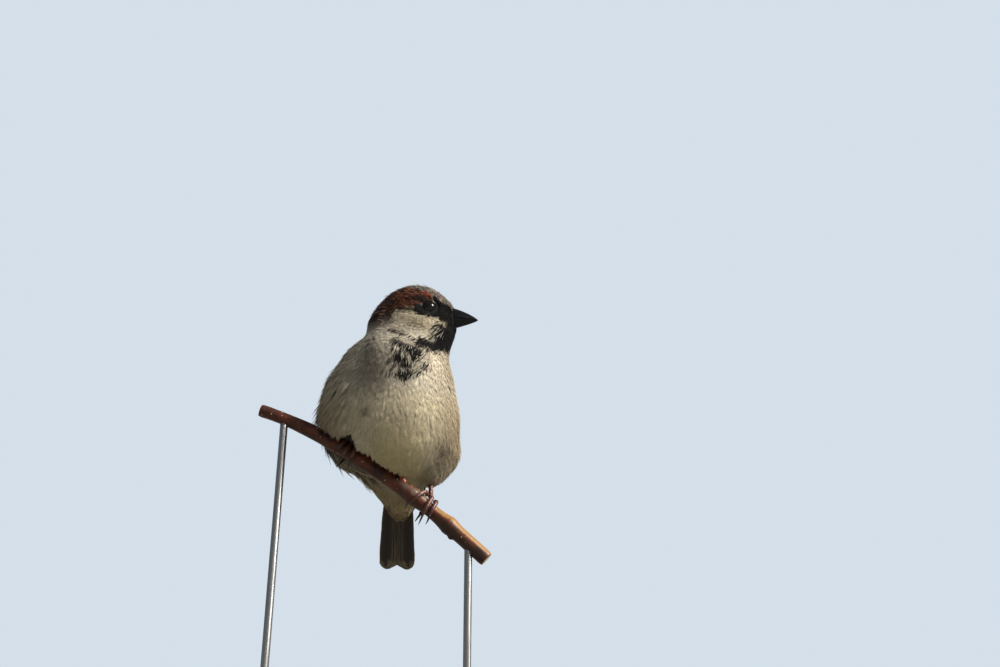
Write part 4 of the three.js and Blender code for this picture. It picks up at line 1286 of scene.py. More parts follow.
FINE = template("tuft", SHORT, 3, 0.2, 15, sides=3)
BRISTLES = 160
rng = np.random.default_rng(17)
around = rng.uniform(-math.pi, math.pi, BRISTLES)
ring = np.stack([np.zeros(BRISTLES), np.sin(around), np.cos(around)], -1)
start = np.array([5.5, 0, -1.9]) + ring * np.array([0, 3.7, 4.8])
end = np.array([7.4, 0, -1.95]) + ring * np.array([0, 3.5, 4.45])
end = end + np.stack([rng.uniform(-0.5, 0.6, BRISTLES)] + [rng.normal(size=BRISTLES) * 0.2] * 2, -1)
share = np.linspace(0, 1, 5)[None, :, None]
spine = start[:, None] * (1 - share) + end[:, None] * share + ring[:, None] * 0.3 * np.sin(share * math.pi)
spine = spine @ HEAD_TURN.T + HEAD_MIDDLE
normals = np.broadcast_to((ring @ HEAD_TURN.T)[:, None], spine.shape)
colours = INK["black"] * rng.uniform(0.8, 1.5, (BRISTLES, 1))
made += fine_tufts("coat_bristles", spine, normals, rng.uniform(0.12, 0.2, BRISTLES), rng, colours, HEAD_CORE)

STREAK_TRIES = 11000
rng = np.random.default_rng(23)
near_bib = np.nonzero((y < -8) & (z > 30) & (x > -6) & ~crown)[0]
start = roots[near_bib[rng.integers(len(near_bib), size=STREAK_TRIES)]]
start = settle(start + rng.normal(size=start.shape) * 0.5, -0.1)
look = markings(start)
dark = rng.random(STREAK_TRIES) < look["inked"]
pale = ~dark & (rng.random(STREAK_TRIES) < look["flecked"])
start, dark = start[dark | pale], dark[dark | pale]
way = lie(start, outward(start))[:, None] * rng.uniform(1.7, 3.2, len(start))[:, None, None]
along = np.linspace(0, 1, 5)[None]
spine = settle(start[:, None] + way * along[..., None], 0.34 * along ** 0.7 - 0.02)
normals = outward(spine)
colours = np.where(dark[:, None], INK["black"], INK["bib_tip"]) * rng.uniform(0.75, 1.5 - 0.4 * ~dark, len(start))[:, None]
made += fine_tufts("coat_bib_streaks", spine, normals, rng.uniform(0.12, 0.2, len(start)), rng, colours, BODY_MIDDLE)
print("small feathers:", made, "triangles")
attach(skin, "root")

# %% [markdown]
# ## Wing and tail feathers
# Flight feathers are long stiff vanes with a strong shaft. Their template is an eight-sided column of many
# stations, flattened so that the shaft stands up along the middle. On a folded wing the rows lap from the
# shoulder back: chestnut lesser coverts, a row of median coverts whose white tips make the wing bar, greater
# coverts, three broad tertials, then the closed fans of secondaries and primaries.

# %% Wing and tail feathers
LONG_STATIONS = list(np.linspace(0, 0.88, 12)) + [0.93, 0.965, 0.985, 1.0]
COVERT_STATIONS = [0, 0.2, 0.45, 0.7, 0.85, 0.94, 1.0]
VANES = {
    "covert": [template("contour", COVERT_STATIONS, 9, 0.05, seed, sides=8) for seed in (51, 52, 53)],
    "flight": [template("flight", LONG_STATIONS, 0, 0, seed, sides=8) for seed in (61, 62)],
    "long": [template("long", LONG_STATIONS, 0, 0, seed, sides=8) for seed in (71, 72)],
    "rudder": [template("rudder", LONG_STATIONS, 0, 0, seed, sides=8) for seed in (81, 82)],
}
FEATHER_INK = {
    "lesser": (tone("7a4424"), tone("8c5a34"), tone("4a2b1a")),  # web, edge and tip, middle
    "median": (tone("3a2419"), tone("ded5c2"), tone("221813")),
    "greater": (tone("33261e"), tone("b58a5c"), tone("1f1814")),
    "tertial": (tone("31261f"), tone("b98d5e"), tone("1d1713")),
    "secondary": (tone("3a2f27"), tone("9c7a52"), tone("241d19")),
    "primary": (tone("3b332c"), tone("97815f"), tone("28221e")),
    "tail": (tone("332a22"), tone("7f745a"), tone("1c1713")),
}


def vane_paint(ink, template_, n, rng, edge=0.75, tip_from=0.93, tip_amount=0.7):
    web, fringe, middle = FEATHER_INK[ink]
    width = np.maximum(outline("flight", np.clip(template_["along"], 0, 1)), 0.2)
    u = np.abs(template_["across"]) / width
    v = template_["along"]
    paint = np.broadcast_to(web, (len(u), 3)).copy()
    paint = blend(paint, middle, np.exp(-((u / 0.3) ** 2)) * 0.8)
    paint = blend(paint, fringe, ramp(edge, 0.98, u) * 0.75)
    paint = blend(paint, fringe, ramp(tip_from, 1.0, v) * tip_amount)
    return paint[None] * (1 + 0.07 * rng.normal(size=(n, 1, 1)))


def wing_row(side, rows, kind, ink, rng, **look):
    """Feathers of one row: each (q at root, t at root, q at tip, t at tip, half width, level)."""
    rows = np.array(rows, float)
    stations = 10
    share = np.linspace(0, 1, stations)[None]
    q = rows[:, 0:1] + (rows[:, 2:3] - rows[:, 0:1]) * share
    t = rows[:, 1:2] + (rows[:, 3:4] - rows[:, 1:2]) * share ** 0.8
    level = rows[:, 5:6] + share * 0.15
    spine, out = wing_place(side, q, t, level)
    for _ in range(2):
        spine[:, 1:-1] = spine[:, 1:-1] * 0.5 + (spine[:, :-2] + spine[:, 2:]) * 0.25
    normals = outward(spine, wing_form(side))
    normals = unit(normals * 0.5 + out * 0.5)
    batches = []
    variant = rng.integers(len(VANES[kind]), size=len(rows))
    for index, template_ in enumerate(VANES[kind]):
        mine = np.nonzero(variant == index)[0]
        if not len(mine):
            continue
        points, ways = shaped(spine[mine], normals[mine], template_, rows[mine, 4], np.full(len(mine), 0.16), 0.12,
                              np.full(len(mine), -0.05 * side))
        paint = vane_paint(ink, template_, len(mine), rng, **look)
        place = np.stack([q[mine, 0], rows[mine, 1] / 24 + 0.5], -1)
        batches.append((points, ways, paint, template_, rng.random(len(mine)), np.clip(place, 0.03, 0.97)))
    return batches


for side, name in ((1, "left"), (-1, "right")):
    rng = np.random.default_rng(90 + side)
    raised = 0.0 if side > 0 else 2.2  # the right wing is tucked a little higher
    primaries = [(0.34, -6.0 + raised + 0.5 * k, [0.93, 0.985, 1.0, 0.985, 0.95, 0.90, 0.84, 0.78][k],
                  -2.6 + raised + 0.75 * k, 3.1, -0.5 + 0.10 * k) for k in range(8)]
    secondaries = [(0.30, -4.5 + 1.3 * k, 0.73 - 0.015 * k, -2.0 + 1.25 * k, 3.9, 0.35 + 0.12 * k) for k in range(6)]
    tertials = [(0.27, 4.0, 0.66, 3.6, 4.4, 1.15), (0.26, 6.0, 0.60, 5.6, 4.4, 1.35), (0.25, 8.0, 0.52, 7.4, 4.0, 1.55)]
    greater = [(0.20, -8.5 + 1.9 * k, 0.44 - 0.004 * k, -8.0 + 1.85 * k, 2.5, 1.25 + 0.10 * k) for k in range(9)]
    hand_coverts = [(0.20, -9.6 + 0.9 * k, 0.50 - 0.02 * k, -9.0 + 0.8 * k, 1.9, 0.95 + 0.06 * k) for k in range(5)]
    alula = [(0.15, -9.8 + 0.8 * k, 0.40 - 0.04 * k, -9.6 + 0.8 * k, 1.8, 1.35 + 0.1 * k) for k in range(3)]
    median = [(0.11, -9.0 + 2.05 * k, 0.265, -8.6 + 2.0 * k, 2.2, 1.75 + 0.04 * (k % 2)) for k in range(9)]
    lesser = []
    for row in range(6):
        for k in range(9):
            q = -0.03 + 0.032 * row
            t = -9.5 + 2.25 * (k + 0.5 * (row % 2)) + rng.uniform(-0.3, 0.3)
            lesser.append((q, t, q + 0.085, t * 1.01, 1.55, 1.5 + 0.07 * row))
    batches = wing_row(side, primaries, "long", "primary", rng, edge=0.8)
    batches += wing_row(side, secondaries, "flight", "secondary", rng, edge=0.78)
    batches += wing_row(side, tertials, "flight", "tertial", rng, edge=0.62, tip_from=0.9)
    feather_piece(f"wing_{name}_flight", batches, 0.3, VANED, (f"wing_{name}",))
    batches = wing_row(side, hand_coverts + alula, "covert", "primary", rng, edge=0.85)
    batches += wing_row(side, greater, "covert", "greater", rng, edge=0.6, tip_from=0.85)
    batches += wing_row(side, median, "covert", "median", rng, edge=1.2, tip_from=0.80, tip_amount=0.9)
    batches += wing_row(side, lesser, "covert", "lesser", rng, edge=0.7)
    feather_piece(f"wing_{name}_coverts", batches, 0.4, VANED)

rng = np.random.default_rng(99)
batches = []
stations = 12
share = np.linspace(0, 1, stations)
for side in (1, -1):
    for k in range(6):
        template_ = VANES["rudder"][k % 2]
        inner = 0.3 + 0.66 * k
        x = side * (inner + (0.5 + 0.17 * k) * share) + 0.3
        length = 51.3 - 1.5 * (1 - k / 5) ** 1.5 - 0.25 * k * (k > 4)
        z = 0.62 - 0.22 * k - 0.022 * x * x
        spine = tail_place(np.stack([x, length * share, z], -1))[None]
        up = np.broadcast_to(TAIL_TURN[:, 2], spine.shape)
        half = np.array([3.35 if k < 5 else 3.0])
        points, ways = shaped(spine, up, template_, half, np.array([0.17]), 0.05, np.array([-0.03 * side * (k - 1)]))
        paint = vane_paint("tail", template_, 1, rng, edge=0.82, tip_from=0.965, tip_amount=0.5)
        batches.append((points, ways, paint, template_, rng.random(1), np.array([[0.5 + side * (0.04 + 0.075 * k), 0.5]])))
feather_piece("tail_feathers", batches, 0.25, VANED, ("tail",))

# %% [markdown]
# ## Eyes
# A sparrow's eye is a wet, very dark brown bead with a black pupil. The ball is a sphere whose rings run
# round its line of sight. A value on each point, its distance from that line, tells iris from pupil.

# %% Eyes
eye_look, tree, shader = new_material("wet_eye", 0.03, Specular_IOR_Level=0.5)
iris = tree.nodes.new("ShaderNodeValToRGB")
iris.color_ramp.elements[0].position, iris.color_ramp.elements[0].color = 0.46, (0.003, 0.003, 0.003, 1)
iris.color_ramp.elements[1].position, iris.color_ramp.elements[1].color = 0.53, (0.016, 0.007, 0.004, 1)
rim = iris.color_ramp.elements.new(0.72)
rim.color = (0.006, 0.004, 0.003, 1)
tree.links.new(attribute(tree, "Sight", "Fac"), iris.inputs["Fac"])
tree.links.new(iris.outputs["Color"], shader.inputs["Base Color"])
for side, middle in EYES.items():
    bm = bmesh.new()
    bmesh.ops.create_uvsphere(bm, u_segments=48, v_segments=32, radius=EYE_RADIUS)
    out = HEAD_LEFT * (1 if side == "left" else -1)
    axes = np.stack([HEAD_FORWARD, np.cross(out, HEAD_FORWARD), out], 1)
    sight = []
    for vert in bm.verts:
        sight.append(math.hypot(vert.co.x, vert.co.y) / EYE_RADIUS if vert.co.z > 0 else 1.0)
        vert.co = in_frame(middle + axes @ np.array(vert.co))
    eye = save_mesh(bm, f"eyeball_{side}")
    layer = eye.data.attributes.new("Sight", "FLOAT", "POINT")
    layer.data.foreach_set("value", sight)
    eye.data.materials.append(eye_look)
    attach(eye, "root")
    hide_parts(f"eye_{side}")

# %% [markdown]
# ## Fine grain for horn, scales and bark
# Horn, foot scales and bark all show fine uneven relief, so one group makes it from the object's own
# coordinates. The Stretch input draws the grain out along an axis.

# %% Fine grain for horn, scales and bark
grain, grain_in, grain_out = node_group(
    "fine_grain",
    [("Color", "NodeSocketColor", (1, 1, 1, 1)), ("Dark", "NodeSocketColor", (0, 0, 0, 1)), ("Scale", "NodeSocketFloat", 900.0),
     ("Amount", "NodeSocketFloat", 0.5), ("Stretch", "NodeSocketVector", (1, 1, 1))],
    [("Color", "NodeSocketColor"), ("Height", "NodeSocketFloat"), ("Mask", "NodeSocketFloat")],
)
where = grain.nodes.new("ShaderNodeTexCoord")
stretch = grain.nodes.new("ShaderNodeVectorMath")
stretch.operation = "MULTIPLY"
grain.links.new(where.outputs["Object"], stretch.inputs[0])
grain.links.new(grain_in.outputs["Stretch"], stretch.inputs[1])
speck = grain.nodes.new("ShaderNodeTexNoise")
speck.inputs["Detail"].default_value = 6
speck.inputs["Roughness"].default_value = 0.62
grain.links.new(stretch.outputs[0], speck.inputs["Vector"])
grain.links.new(grain_in.outputs["Scale"], speck.inputs["Scale"])
mask = maths(grain, "MULTIPLY", maths(grain, "SUBTRACT", speck.outputs["Fac"], 0.38), 4.0, clamp=True)
inked = maths(grain, "MULTIPLY", mask, grain_in.outputs["Amount"])
grain.links.new(mixed(grain, inked, grain_in.outputs["Color"], grain_in.outputs["Dark"]), grain_out.inputs["Color"])
grain.links.new(speck.outputs["Fac"], grain_out.inputs["Height"])
grain.links.new(mask, grain_out.inputs["Mask"])


def linear(digits):
    return (*tone(digits), 1)


# %% [markdown]
# ## The bill
# A seed-eater's bill is a deep cone with a humped ridge, parted by a mouth line that bends down at the
# gape. Both halves start as one column of many rings that is shaped like the solid, then are cut apart.

# %% The bill
def bill_share(share):
    return (1 - share ** 1.5) ** 0.8 * (1 - 0.15 * share) + 0.015


MOUTH = np.array([7.2 + 6.2, 0, -1.9 - 0.7])


def bill_half(upper):
    rings, sides = 34, 36
    bm = column(sides, rings)
    for vert in bm.verts:
        share = 1 - (1 - vert.co.z / rings) ** 1.35 if vert.co.z else 0.0
        size = float(bill_share(np.float64(share)))
        angle = math.atan2(vert.co.x, vert.co.y)
        across, up = math.sin(angle) * size, math.cos(angle) * size
        ridge = 1 + 0.05 * math.exp(-((angle / 0.30) ** 2)) * (1 - share)  # the culmen is a soft keel
        vert.co = (5.7 + share * 12.4, -across * 3.6 * (1 - 0.08 * abs(math.cos(angle))), -1.9 + up * 4.6 * ridge - 0.9 * share ** 2)
    normal = Vector((0.05, 0, 1)).normalized()
    gap = 0.07
    for vert in bm.verts:  # the gape bends down at the face
        bend = max(0.0, 1 - (vert.co.x - 5.7) / 3.2)
        vert.co.z += 0.55 * bend * bend * math.exp(-(((vert.co.z + 2.4) / 1.6) ** 2))
    cut = bmesh.ops.bisect_plane(
        bm, geom=bm.verts[:] + bm.edges[:] + bm.faces[:], plane_co=Vector(MOUTH) + normal * (gap if upper else -gap),
        plane_no=normal, clear_inner=upper, clear_outer=not upper,
    )
    edges = [part for part in cut["geom_cut"] if isinstance(part, bmesh.types.BMEdge)]
    bmesh.ops.holes_fill(bm, edges=edges, sides=0)
    bmesh.ops.bevel(bm, geom=edges, offset=0.09, segments=2, affect="EDGES", profile=0.5, material=-1)
    if upper:
        for side in (1, -1):  # nostrils
            for vert in bm.verts:
                off = (Vector((8.0, side * 2.1, 0.9)) - vert.co).length
                vert.co.y -= side * 0.28 * math.exp(-((off / 0.5) ** 2))
    for vert in bm.verts:
        vert.co = in_frame(head_place(*vert.co))
    bmesh.ops.recalc_face_normals(bm, faces=bm.faces)
    return bm


horn, tree, shader = new_material("black_horn", 0.30, Specular_IOR_Level=0.22, Coat_Weight=0.14, Coat_Roughness=0.18)
lined = placed(tree, grain, Color=linear("09090b"), Dark=linear("15161a"), Scale=700.0, Amount=0.55, Stretch=(0.35, 1, 1))
tree.links.new(lined.outputs["Color"], shader.inputs["Base Color"])
bumped(tree, shader, lined.outputs["Height"], 0.05 * MM, 0.6)
for name, upper in (("bill_upper", True), ("bill_lower", False)):
    half = save_mesh(bill_half(upper), f"mandible_{name[5:]}")
    half.data.materials.append(horn)
    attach(half, "root")
    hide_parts(name)
    print(name, len(half.data.polygons), "faces")

# %% [markdown]
# ## Legs, toes and claws
# A perching foot has three toes in front and one behind, each with rows of horny scales above and soft pads
# below, and a curved claw. Each part is a column bent along a curve: the rings' radius steps at each scale
# and swells at each pad.

# %% Legs, toes and claws
def smooth_path(points, count):
    """A Catmull-Rom curve through a few points, at equal shares."""
    points = np.asarray(points, float)
    points = np.concatenate([[2 * points[0] - points[1]], points, [2 * points[-1] - points[-2]]])
    t = np.linspace(0, len(points) - 3 - 1e-9, count)
    i = t.astype(int)
    t = (t - i)[:, None]
    p0, p1, p2, p3 = points[i], points[i + 1], points[i + 2], points[i + 3]
    return 0.5 * (2 * p1 + (p2 - p0) * t + (2 * p0 - 5 * p1 + 4 * p2 - p3) * t ** 2 + (3 * p1 - p0 - 3 * p2 + p3) * t ** 3)


def bent_column(path, sides, radius_at, top):
    """A column bent along a path. radius_at(share, angle) takes angle 0 at the side that top names."""
    path = np.asarray(path, float)
    bm = column(sides, len(path) - 1)
    tangent = unit(np.gradient(path, axis=0))
    top = np.broadcast_to(np.asarray(top, float), path.shape)
    up = unit(top - tangent * dot(top, tangent))
    side = np.cross(tangent, up)
    for vert in bm.verts:
        ring = round(vert.co.z)
        angle = math.atan2(vert.co.x, vert.co.y)
        r = radius_at(ring / (len(path) - 1), angle)
        place = path[ring] + (up[ring] * math.cos(angle) + side[ring] * math.sin(angle)) * r
        vert.co = in_frame(place)
    bmesh.ops.recalc_face_normals(bm, faces=bm.faces)
    return bm


TOES = {
    "inner": dict(spread=(-1.9, -4.2), angles=(-12, 36, 86, 128), hang=0.15, thick=0.95, claw=4.0),
    "middle": dict(spread=(0, 0), angles=(-12, 40, 96, 140), hang=1.2, thick=1.05, claw=4.6),
    "outer": dict(spread=(2.1, 4.5), angles=(-12, 36, 86, 128), hang=0.15, thick=0.95, claw=4.0),
    "hind": dict(spread=(0, 0.6), angles=(-48, -80, -112, -138), hang=0.15, thick=1.05, claw=5.4),
}


def toe_path(foot, name, count):
    toe = TOES[name]
    inward = 1 if foot["along"] > 0 else -1
    swing = foot["swing"] if name == "middle" else 0
    share = np.linspace(0, 1, 4)
    across = inward * foot["open"] * (toe["spread"][0] + (toe["spread"][1] - toe["spread"][0]) * share ** 0.8) + swing * share
    points = [on_twig(foot["along"] + a, angle, 1.3 + toe["hang"] * s ** 3) for a, angle, s in zip(across, toe["angles"], share)]
    return smooth_path(points, count)


def toe_radius(toe, scales):
    def radius(share, angle):
        ends = min(1, 0.72 + share * 4, 0.5 + (1 - share) * 5) ** 0.8
        body = toe["thick"] * (1 - 0.22 * share) * ends
        above = max(0.0, math.cos(angle))
        below = max(0.0, -math.cos(angle))
        step = (share * scales) % 1.0
        scale = 0.07 * above * (1 - step ** 3 * 1.6)
        pads = below * (0.10 * math.cos(share * 3 * 2 * math.pi) - 0.02)
        return body * (1 + scale + pads - 0.05 * abs(math.sin(angle)))
    return radius


leg_look, tree, shader = new_material("scaled_leg", 0.38, Specular_IOR_Level=0.5, Coat_Weight=0.25, Coat_Roughness=0.25)
scaled = placed(tree, grain, Color=linear("6e4030"), Dark=linear("331c16"), Scale=650.0, Amount=0.85, Stretch=(1, 1, 1))
cells = tree.nodes.new("ShaderNodeTexVoronoi")
cells.feature = "DISTANCE_TO_EDGE"
cells.inputs["Scale"].default_value = 1500
place = tree.nodes.new("ShaderNodeTexCoord")
tree.links.new(place.outputs["Object"], cells.inputs["Vector"])
crease = maths(tree, "MULTIPLY", cells.outputs["Distance"], 5.0, clamp=True)
dark_crease = maths(tree, "SUBTRACT", 1.0, crease)
tree.links.new(mixed(tree, maths(tree, "MULTIPLY", dark_crease, 0.45), scaled.outputs["Color"], linear("38211c")), shader.inputs["Base Color"])
bumped(tree, shader, crease, 0.07 * MM, 0.8)

claw_look, tree, shader = new_material("dark_claw", 0.28, Specular_IOR_Level=0.5, Coat_Weight=0.3, Coat_Roughness=0.15)
shaded = placed(tree, grain, Color=linear("1d1614"), Dark=linear("4a3a32"), Scale=900.0, Amount=0.45, Stretch=(1, 1, 0.4))
tree.links.new(shaded.outputs["Color"], shader.inputs["Base Color"])
bumped(tree, shader, shaded.outputs["Height"], 0.03 * MM, 0.5)


def finished(bm, name, material, slot, *replaced):
    piece = save_mesh(bm, name)
    piece.data.materials.append(material)
    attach(piece, "root")
    if replaced:
        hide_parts(*replaced)
    return piece


for side, foot in FEET.items():
    for name, toe in TOES.items():
        path = toe_path(foot, name, 34)
        axis = twig_axis(foot["along"])
        outside = unit(path - axis)
        bm = bent_column(path, 14, toe_radius(toe, 9), outside)
        finished(bm, f"{name}_toe_{side}", leg_look, "leg", f"toe_{name}_{side}")
        ahead, tip = unit(path[-1] - path[-3]), path[-1]
        start = tip - ahead * 0.25
        off = unit(tip - axis)
        middle = start + ahead * toe["claw"] * 0.5 + off * 0.55
        end = start + ahead * toe["claw"] * 0.9 + np.array([0, 0, -0.5])
        claw_path = smooth_path([start, middle, end], 16)
        clear = off_twig(claw_path)
        claw_path = claw_path + unit(claw_path - axis) * np.maximum(0.25 - clear, 0)[:, None]
        bm = bent_column(claw_path, 12, lambda share, angle: (0.56 * (1 - share) ** 0.75 + 0.05) * (1 - 0.22 * abs(math.sin(angle))), off)
        finished(bm, f"{name}_claw_{side}", claw_look, "claw", f"claw_{name}_{side}")
    ball = on_twig(foot["along"], -30, 1.85)
    path = smooth_path([ball, ball + [0, foot["back"] * 0.35, 5.95], ball + [0, foot["back"], 17]], 44)

    def shank(share, angle):
        step = (share * 11) % 1.0
        front = max(0.0, math.cos(angle))
        base = 1.0 + 0.28 * (1 - share) ** 6 + 0.35 * share ** 5
        rounded = min(1, 0.6 + share * 6)
        return base * rounded * (1 + 0.07 * front * (1 - 1.6 * step ** 4) - 0.10 * abs(math.sin(angle)))

    finished(bent_column(path, 16, shank, (0, -1, 0)), f"shank_{side}", leg_look, "leg", f"tarsus_{side}")

# %% [markdown]
# ## The twig
# Young bark is thin and shiny, red-brown, with pale corky pores. Where last year's wood met this year's it
# swells. The column follows the twig's line, its radius carries fine wrinkles, and the pores are in the
# material. On the twig's right end the material paints the bark that faces the key lamp gold, as painted
# light, and the bark turned away from it darker brown, as painted shade.

# %% The twig
steps = 220
alongs = np.linspace(twig_run[0], twig_run[-1], steps)
path = twig_axis(alongs)
bark_rng = np.random.default_rng(5)
wrinkle = bark_rng.normal(size=(steps, 32)) * 0.012


def bark_radius(share, angle):
    ring = round(share * (steps - 1))
    base = float(twig_radius(alongs[ring]))
    ends = min(ring, steps - 1 - ring)
    chamfer = (0.0, -0.10, -0.03)[0] if ends > 2 else (-0.28, -0.12, -0.04)[ends]
    ribs = 0.03 * math.sin(angle * 5 + share * 9) + 0.02 * math.sin(angle * 9 - share * 31)
    ringed = sum(0.16 * math.exp(-(((alongs[ring] - at) / 0.35) ** 2)) for at in (8.2, 9.1, 10.2, 26.2, 27.0, 27.9, -29.8))
    knob = 0.9 * math.exp(-(((alongs[ring] - 30.5) / 1.1) ** 2) - (((angle - 3.0) / 0.45) ** 2))
    return base + chamfer + ribs + ringed + knob + float(wrinkle[ring, int((angle + math.pi) / (2 * math.pi) * 31.99) % 32])


bark, tree, shader = new_material("young_bark", 0.46, Specular_IOR_Level=0.3, Coat_Weight=0.08, Coat_Roughness=0.3)
place = tree.nodes.new("ShaderNodeTexCoord")
red = placed(tree, grain, Color=linear("62301a"), Dark=linear("1f120d"), Scale=420.0, Amount=0.9, Stretch=(0.35, 1, 0.35))
parts = tree.nodes.new("ShaderNodeSeparateXYZ")
tree.links.new(place.outputs["Object"], parts.inputs[0])
patchy = tree.nodes.new("ShaderNodeTexNoise")
patchy.inputs["Scale"].default_value = 160
patchy.inputs["Detail"].default_value = 5
tree.links.new(place.outputs["Object"], patchy.inputs["Vector"])
geometry = tree.nodes.new("ShaderNodeNewGeometry")
facing = tree.nodes.new("ShaderNodeSeparateXYZ")
tree.links.new(geometry.outputs["Normal"], facing.inputs[0])
# Painted light and shade: on the twig's right end, the bark that faces the key lamp is painted gold, and the bark
# turned away from it is painted darker brown.
facing_key_lamp = maths(tree, "ADD", maths(tree, "MULTIPLY", facing.outputs["X"], 0.75), maths(tree, "MULTIPLY", facing.outputs["Z"], 0.65))
reach = maths(tree, "MULTIPLY", maths(tree, "SUBTRACT", parts.outputs["X"], 0.010), 110.0, clamp=True)
painted_light_gold = maths(tree, "MULTIPLY", maths(tree, "ADD", maths(tree, "SUBTRACT", facing_key_lamp, 0.15), maths(tree, "SUBTRACT", patchy.outputs["Fac"], 0.5)), 3.0, clamp=True)
painted_light_gold = maths(tree, "MULTIPLY", painted_light_gold, reach)
painted_shade_side = maths(tree, "MULTIPLY", maths(tree, "SUBTRACT", 0.10, facing_key_lamp), 2.5, clamp=True)
painted_shade_bark = mixed(tree, maths(tree, "MULTIPLY", maths(tree, "MULTIPLY", painted_shade_side, reach), 0.8), red.outputs["Color"], linear("33241a"))
painted_light_bark = mixed(tree, maths(tree, "MULTIPLY", painted_light_gold, 0.85), painted_shade_bark, linear("98703c"))
grey_skin = maths(tree, "MULTIPLY", maths(tree, "SUBTRACT", patchy.outputs["Fac"], 0.60), 5.0, clamp=True)
filmed = mixed(tree, maths(tree, "MULTIPLY", grey_skin, 0.22), painted_light_bark, linear("857a6e"))
near_foot = maths(tree, "SUBTRACT", 1.0, maths(tree, "MULTIPLY", maths(tree, "ABSOLUTE", maths(tree, "SUBTRACT", parts.outputs["X"], 0.0075)), 150.0), clamp=True)
scurf = maths(tree, "MULTIPLY", maths(tree, "SUBTRACT", red.outputs["Height"], 0.50), 6.0, clamp=True)
filmed = mixed(tree, maths(tree, "MULTIPLY", maths(tree, "MULTIPLY", near_foot, scurf), 0.6), filmed, linear("92806b"))
squeeze = tree.nodes.new("ShaderNodeMapping")
squeeze.inputs["Scale"].default_value = (0.7, 1, 0.7)
tree.links.new(place.outputs["Object"], squeeze.inputs["Vector"])
pores = tree.nodes.new("ShaderNodeTexVoronoi")
pores.inputs["Scale"].default_value = 520
tree.links.new(squeeze.outputs[0], pores.inputs["Vector"])
pore = maths(tree, "MULTIPLY", maths(tree, "SUBTRACT", 0.12, pores.outputs["Distance"]), 22.0, clamp=True)
tree.links.new(mixed(tree, pore, filmed, linear("c9b08d")), shader.inputs["Base Color"])
relief = maths(tree, "ADD", red.outputs["Height"], maths(tree, "MULTIPLY", pore, 0.8))
bumped(tree, shader, relief, 0.12 * MM, 0.8)

cut_wood, tree, shader = new_material("cut_wood", 0.6, Specular_IOR_Level=0.3)
pale = placed(tree, grain, Color=linear("cbb388"), Dark=linear("97774c"), Scale=900.0, Amount=0.6, Stretch=(1, 1, 1))
tree.links.new(pale.outputs["Color"], shader.inputs["Base Color"])
bumped(tree, shader, pale.outputs["Height"], 0.05 * MM, 0.6)

twig = finished(bent_column(path, 40, bark_radius, (0, 0, 1)), "twig", bark, "bark", "perch")
twig.data.materials.append(cut_wood)
for face in twig.data.polygons:
    if len(face.vertices) > 4:
        face.material_index = 1
        face.use_smooth = False

BUD_AIM = unit(np.array([-0.35, -0.35, 0.87]))
bud_root = twig_axis(5.6) + BUD_AIM * 2.2
bud_path = bud_root + BUD_AIM * np.linspace(0, 4.6, 30)[:, None]


def bud_radius(share, angle):
    swell = 1.4 * math.sin(math.pi * min(0.985, 0.25 + 0.75 * share)) ** 0.75
    turn = (angle / (2 * math.pi) * 2 + share * 3.2) % 1.0
    return max(0.05, swell * (1 + 0.07 * (1 - turn) * (share > 0.12)))


bud_look, tree, shader = new_material("bud_scale", 0.35, Specular_IOR_Level=0.5, Coat_Weight=0.2, Coat_Roughness=0.25)
budded = placed(tree, grain, Color=linear("9a4326"), Dark=linear("4a2016"), Scale=800.0, Amount=0.7, Stretch=(1, 1, 0.5))
tree.links.new(budded.outputs["Color"], shader.inputs["Base Color"])
bumped(tree, shader, budded.outputs["Height"], 0.05 * MM, 0.6)
finished(bent_column(bud_path, 20, bud_radius, (0, -1, 0)), "bud", bud_look, "bark")

# %% [markdown]
# ## The stand
# A plain turned base of dark stained wood and two brushed steel rods hold the twig. The base's profile is
# spun round its axis, and its grain is stretched noise on object coordinates, under a satin varnish.

# %% The stand
profile = bmesh.new()
outline_points = [(0, 0), (59.2, 0), (59.8, 0.3), (60, 0.9), (60, 7.6)]
outline_points += [(58 + 2 * math.cos(a), 8 + 2 * math.sin(a)) for a in np.linspace(0.1, math.pi / 2, 8)]
outline_points += [(55.5, 10), (55.1, 9.82), (54.7, 10), (0, 10)]
verts = [profile.verts.new((px * MM, 0, pz * MM)) for px, pz in outline_points]
for a, b in zip(verts, verts[1:]):
    profile.edges.new((a, b))
bmesh.ops.spin(profile, geom=profile.verts[:] + profile.edges[:], cent=(0, 0, 0), axis=(0, 0, 1), angle=2 * math.pi, steps=128, use_merge=True)
bmesh.ops.remove_doubles(profile, verts=profile.verts, dist=1e-6)
bmesh.ops.recalc_face_normals(profile, faces=profile.faces)
wood, tree, shader = new_material("dark_stained_wood", 0.38, Specular_IOR_Level=0.5, Coat_Weight=0.35, Coat_Roughness=0.28)
grained = placed(tree, grain, Color=linear("4a2f20"), Dark=linear("21140e"), Scale=240.0, Amount=0.95, Stretch=(0.08, 1, 1))
tree.links.new(grained.outputs["Color"], shader.inputs["Base Color"])
bumped(tree, shader, grained.outputs["Height"], 0.08 * MM, 0.5)
base = finished(profile, "base", wood, "stand_wood", "stand_base")
for face in base.data.polygons:
    flat = abs(face.normal.z) > 0.999
    face.use_smooth = not flat

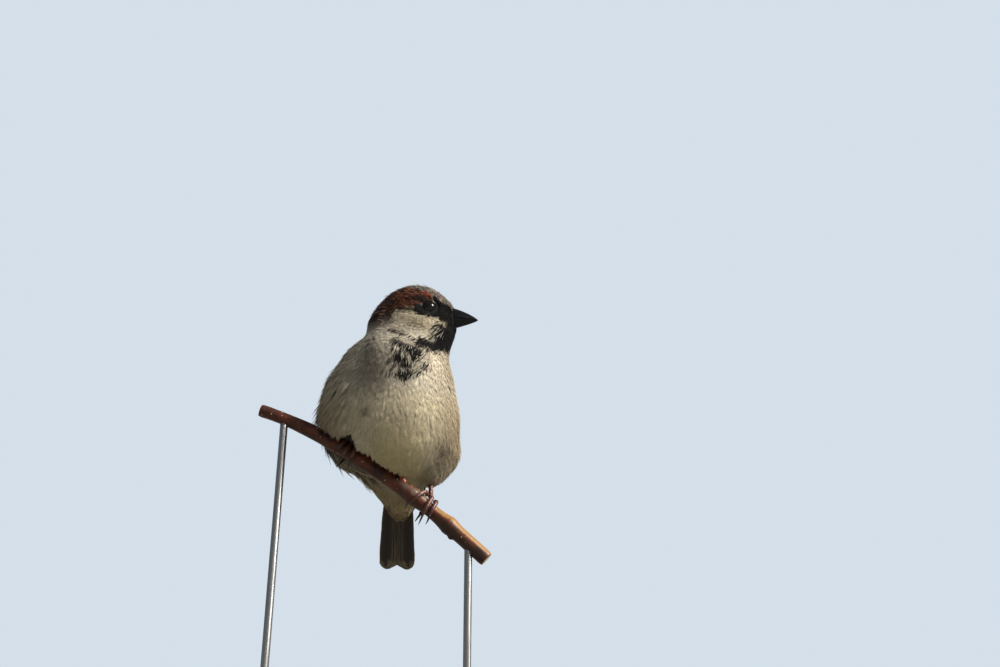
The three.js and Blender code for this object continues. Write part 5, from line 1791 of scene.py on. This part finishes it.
steel, tree, shader = new_material("brushed_steel", 0.3, Metallic=1.0)
brushed = placed(tree, grain, Color=linear("c4c4c0"), Dark=linear("9a9a97"), Scale=1500.0, Amount=0.6, Stretch=(1, 1, 0.03))
tree.links.new(brushed.outputs["Color"], shader.inputs["Base Color"])
rubbed = maths(tree, "ADD", maths(tree, "MULTIPLY", brushed.outputs["Mask"], 0.16), 0.24)
tree.links.new(rubbed, shader.inputs["Roughness"])
bumped(tree, shader, brushed.outputs["Height"], 0.02 * MM, 0.4)
for along, name in ((-51, "right"), (37, "left")):
    low, high = (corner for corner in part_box(f"stand_rod_{name}"))
    middle = twig_axis(along)
    foot_place = np.array([middle[0], 0, low.z / MM - PERCH[2]])
    top_z = middle[2] - 0.4 * float(twig_radius(along))
    rod_path = foot_place + np.array([0, 0, 1]) * np.linspace(0, top_z - foot_place[2], 60)[:, None]
    bm = bent_column(rod_path, 40, lambda share, angle: 1.5, (0, -1, 0))
    collar_path = foot_place + np.array([0, 0, 1]) * np.array([0, 0.25, 1.0, 1.8, 2.1, 2.2])[:, None]
    finished(bm, f"rod_{name}", steel, "stand_steel", f"stand_rod_{name}")
    finished(bent_column(collar_path, 48, lambda share, angle: (3.0, 3.2, 3.2, 3.1, 2.8, 1.6)[round(share * 5)], (0, -1, 0)),
             f"collar_{name}", steel, "stand_steel")

floor_look, tree, shader = new_material("pale_floor", 0.8, Specular_IOR_Level=0.1)
ray = tree.nodes.new("ShaderNodeLightPath")
tree.links.new(mixed(tree, ray.outputs["Is Camera Ray"], (0.22, 0.22, 0.21), (0.62, 0.63, 0.63)), shader.inputs["Base Color"])
floor.data.materials.append(floor_look)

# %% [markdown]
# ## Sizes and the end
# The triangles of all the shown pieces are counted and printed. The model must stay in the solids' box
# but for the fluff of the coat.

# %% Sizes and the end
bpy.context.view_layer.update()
total = sum(len(piece.data.loop_triangles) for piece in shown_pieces() if piece.type == "MESH" and (piece.data.calc_loop_triangles() or True))
print("triangles shown:", total)
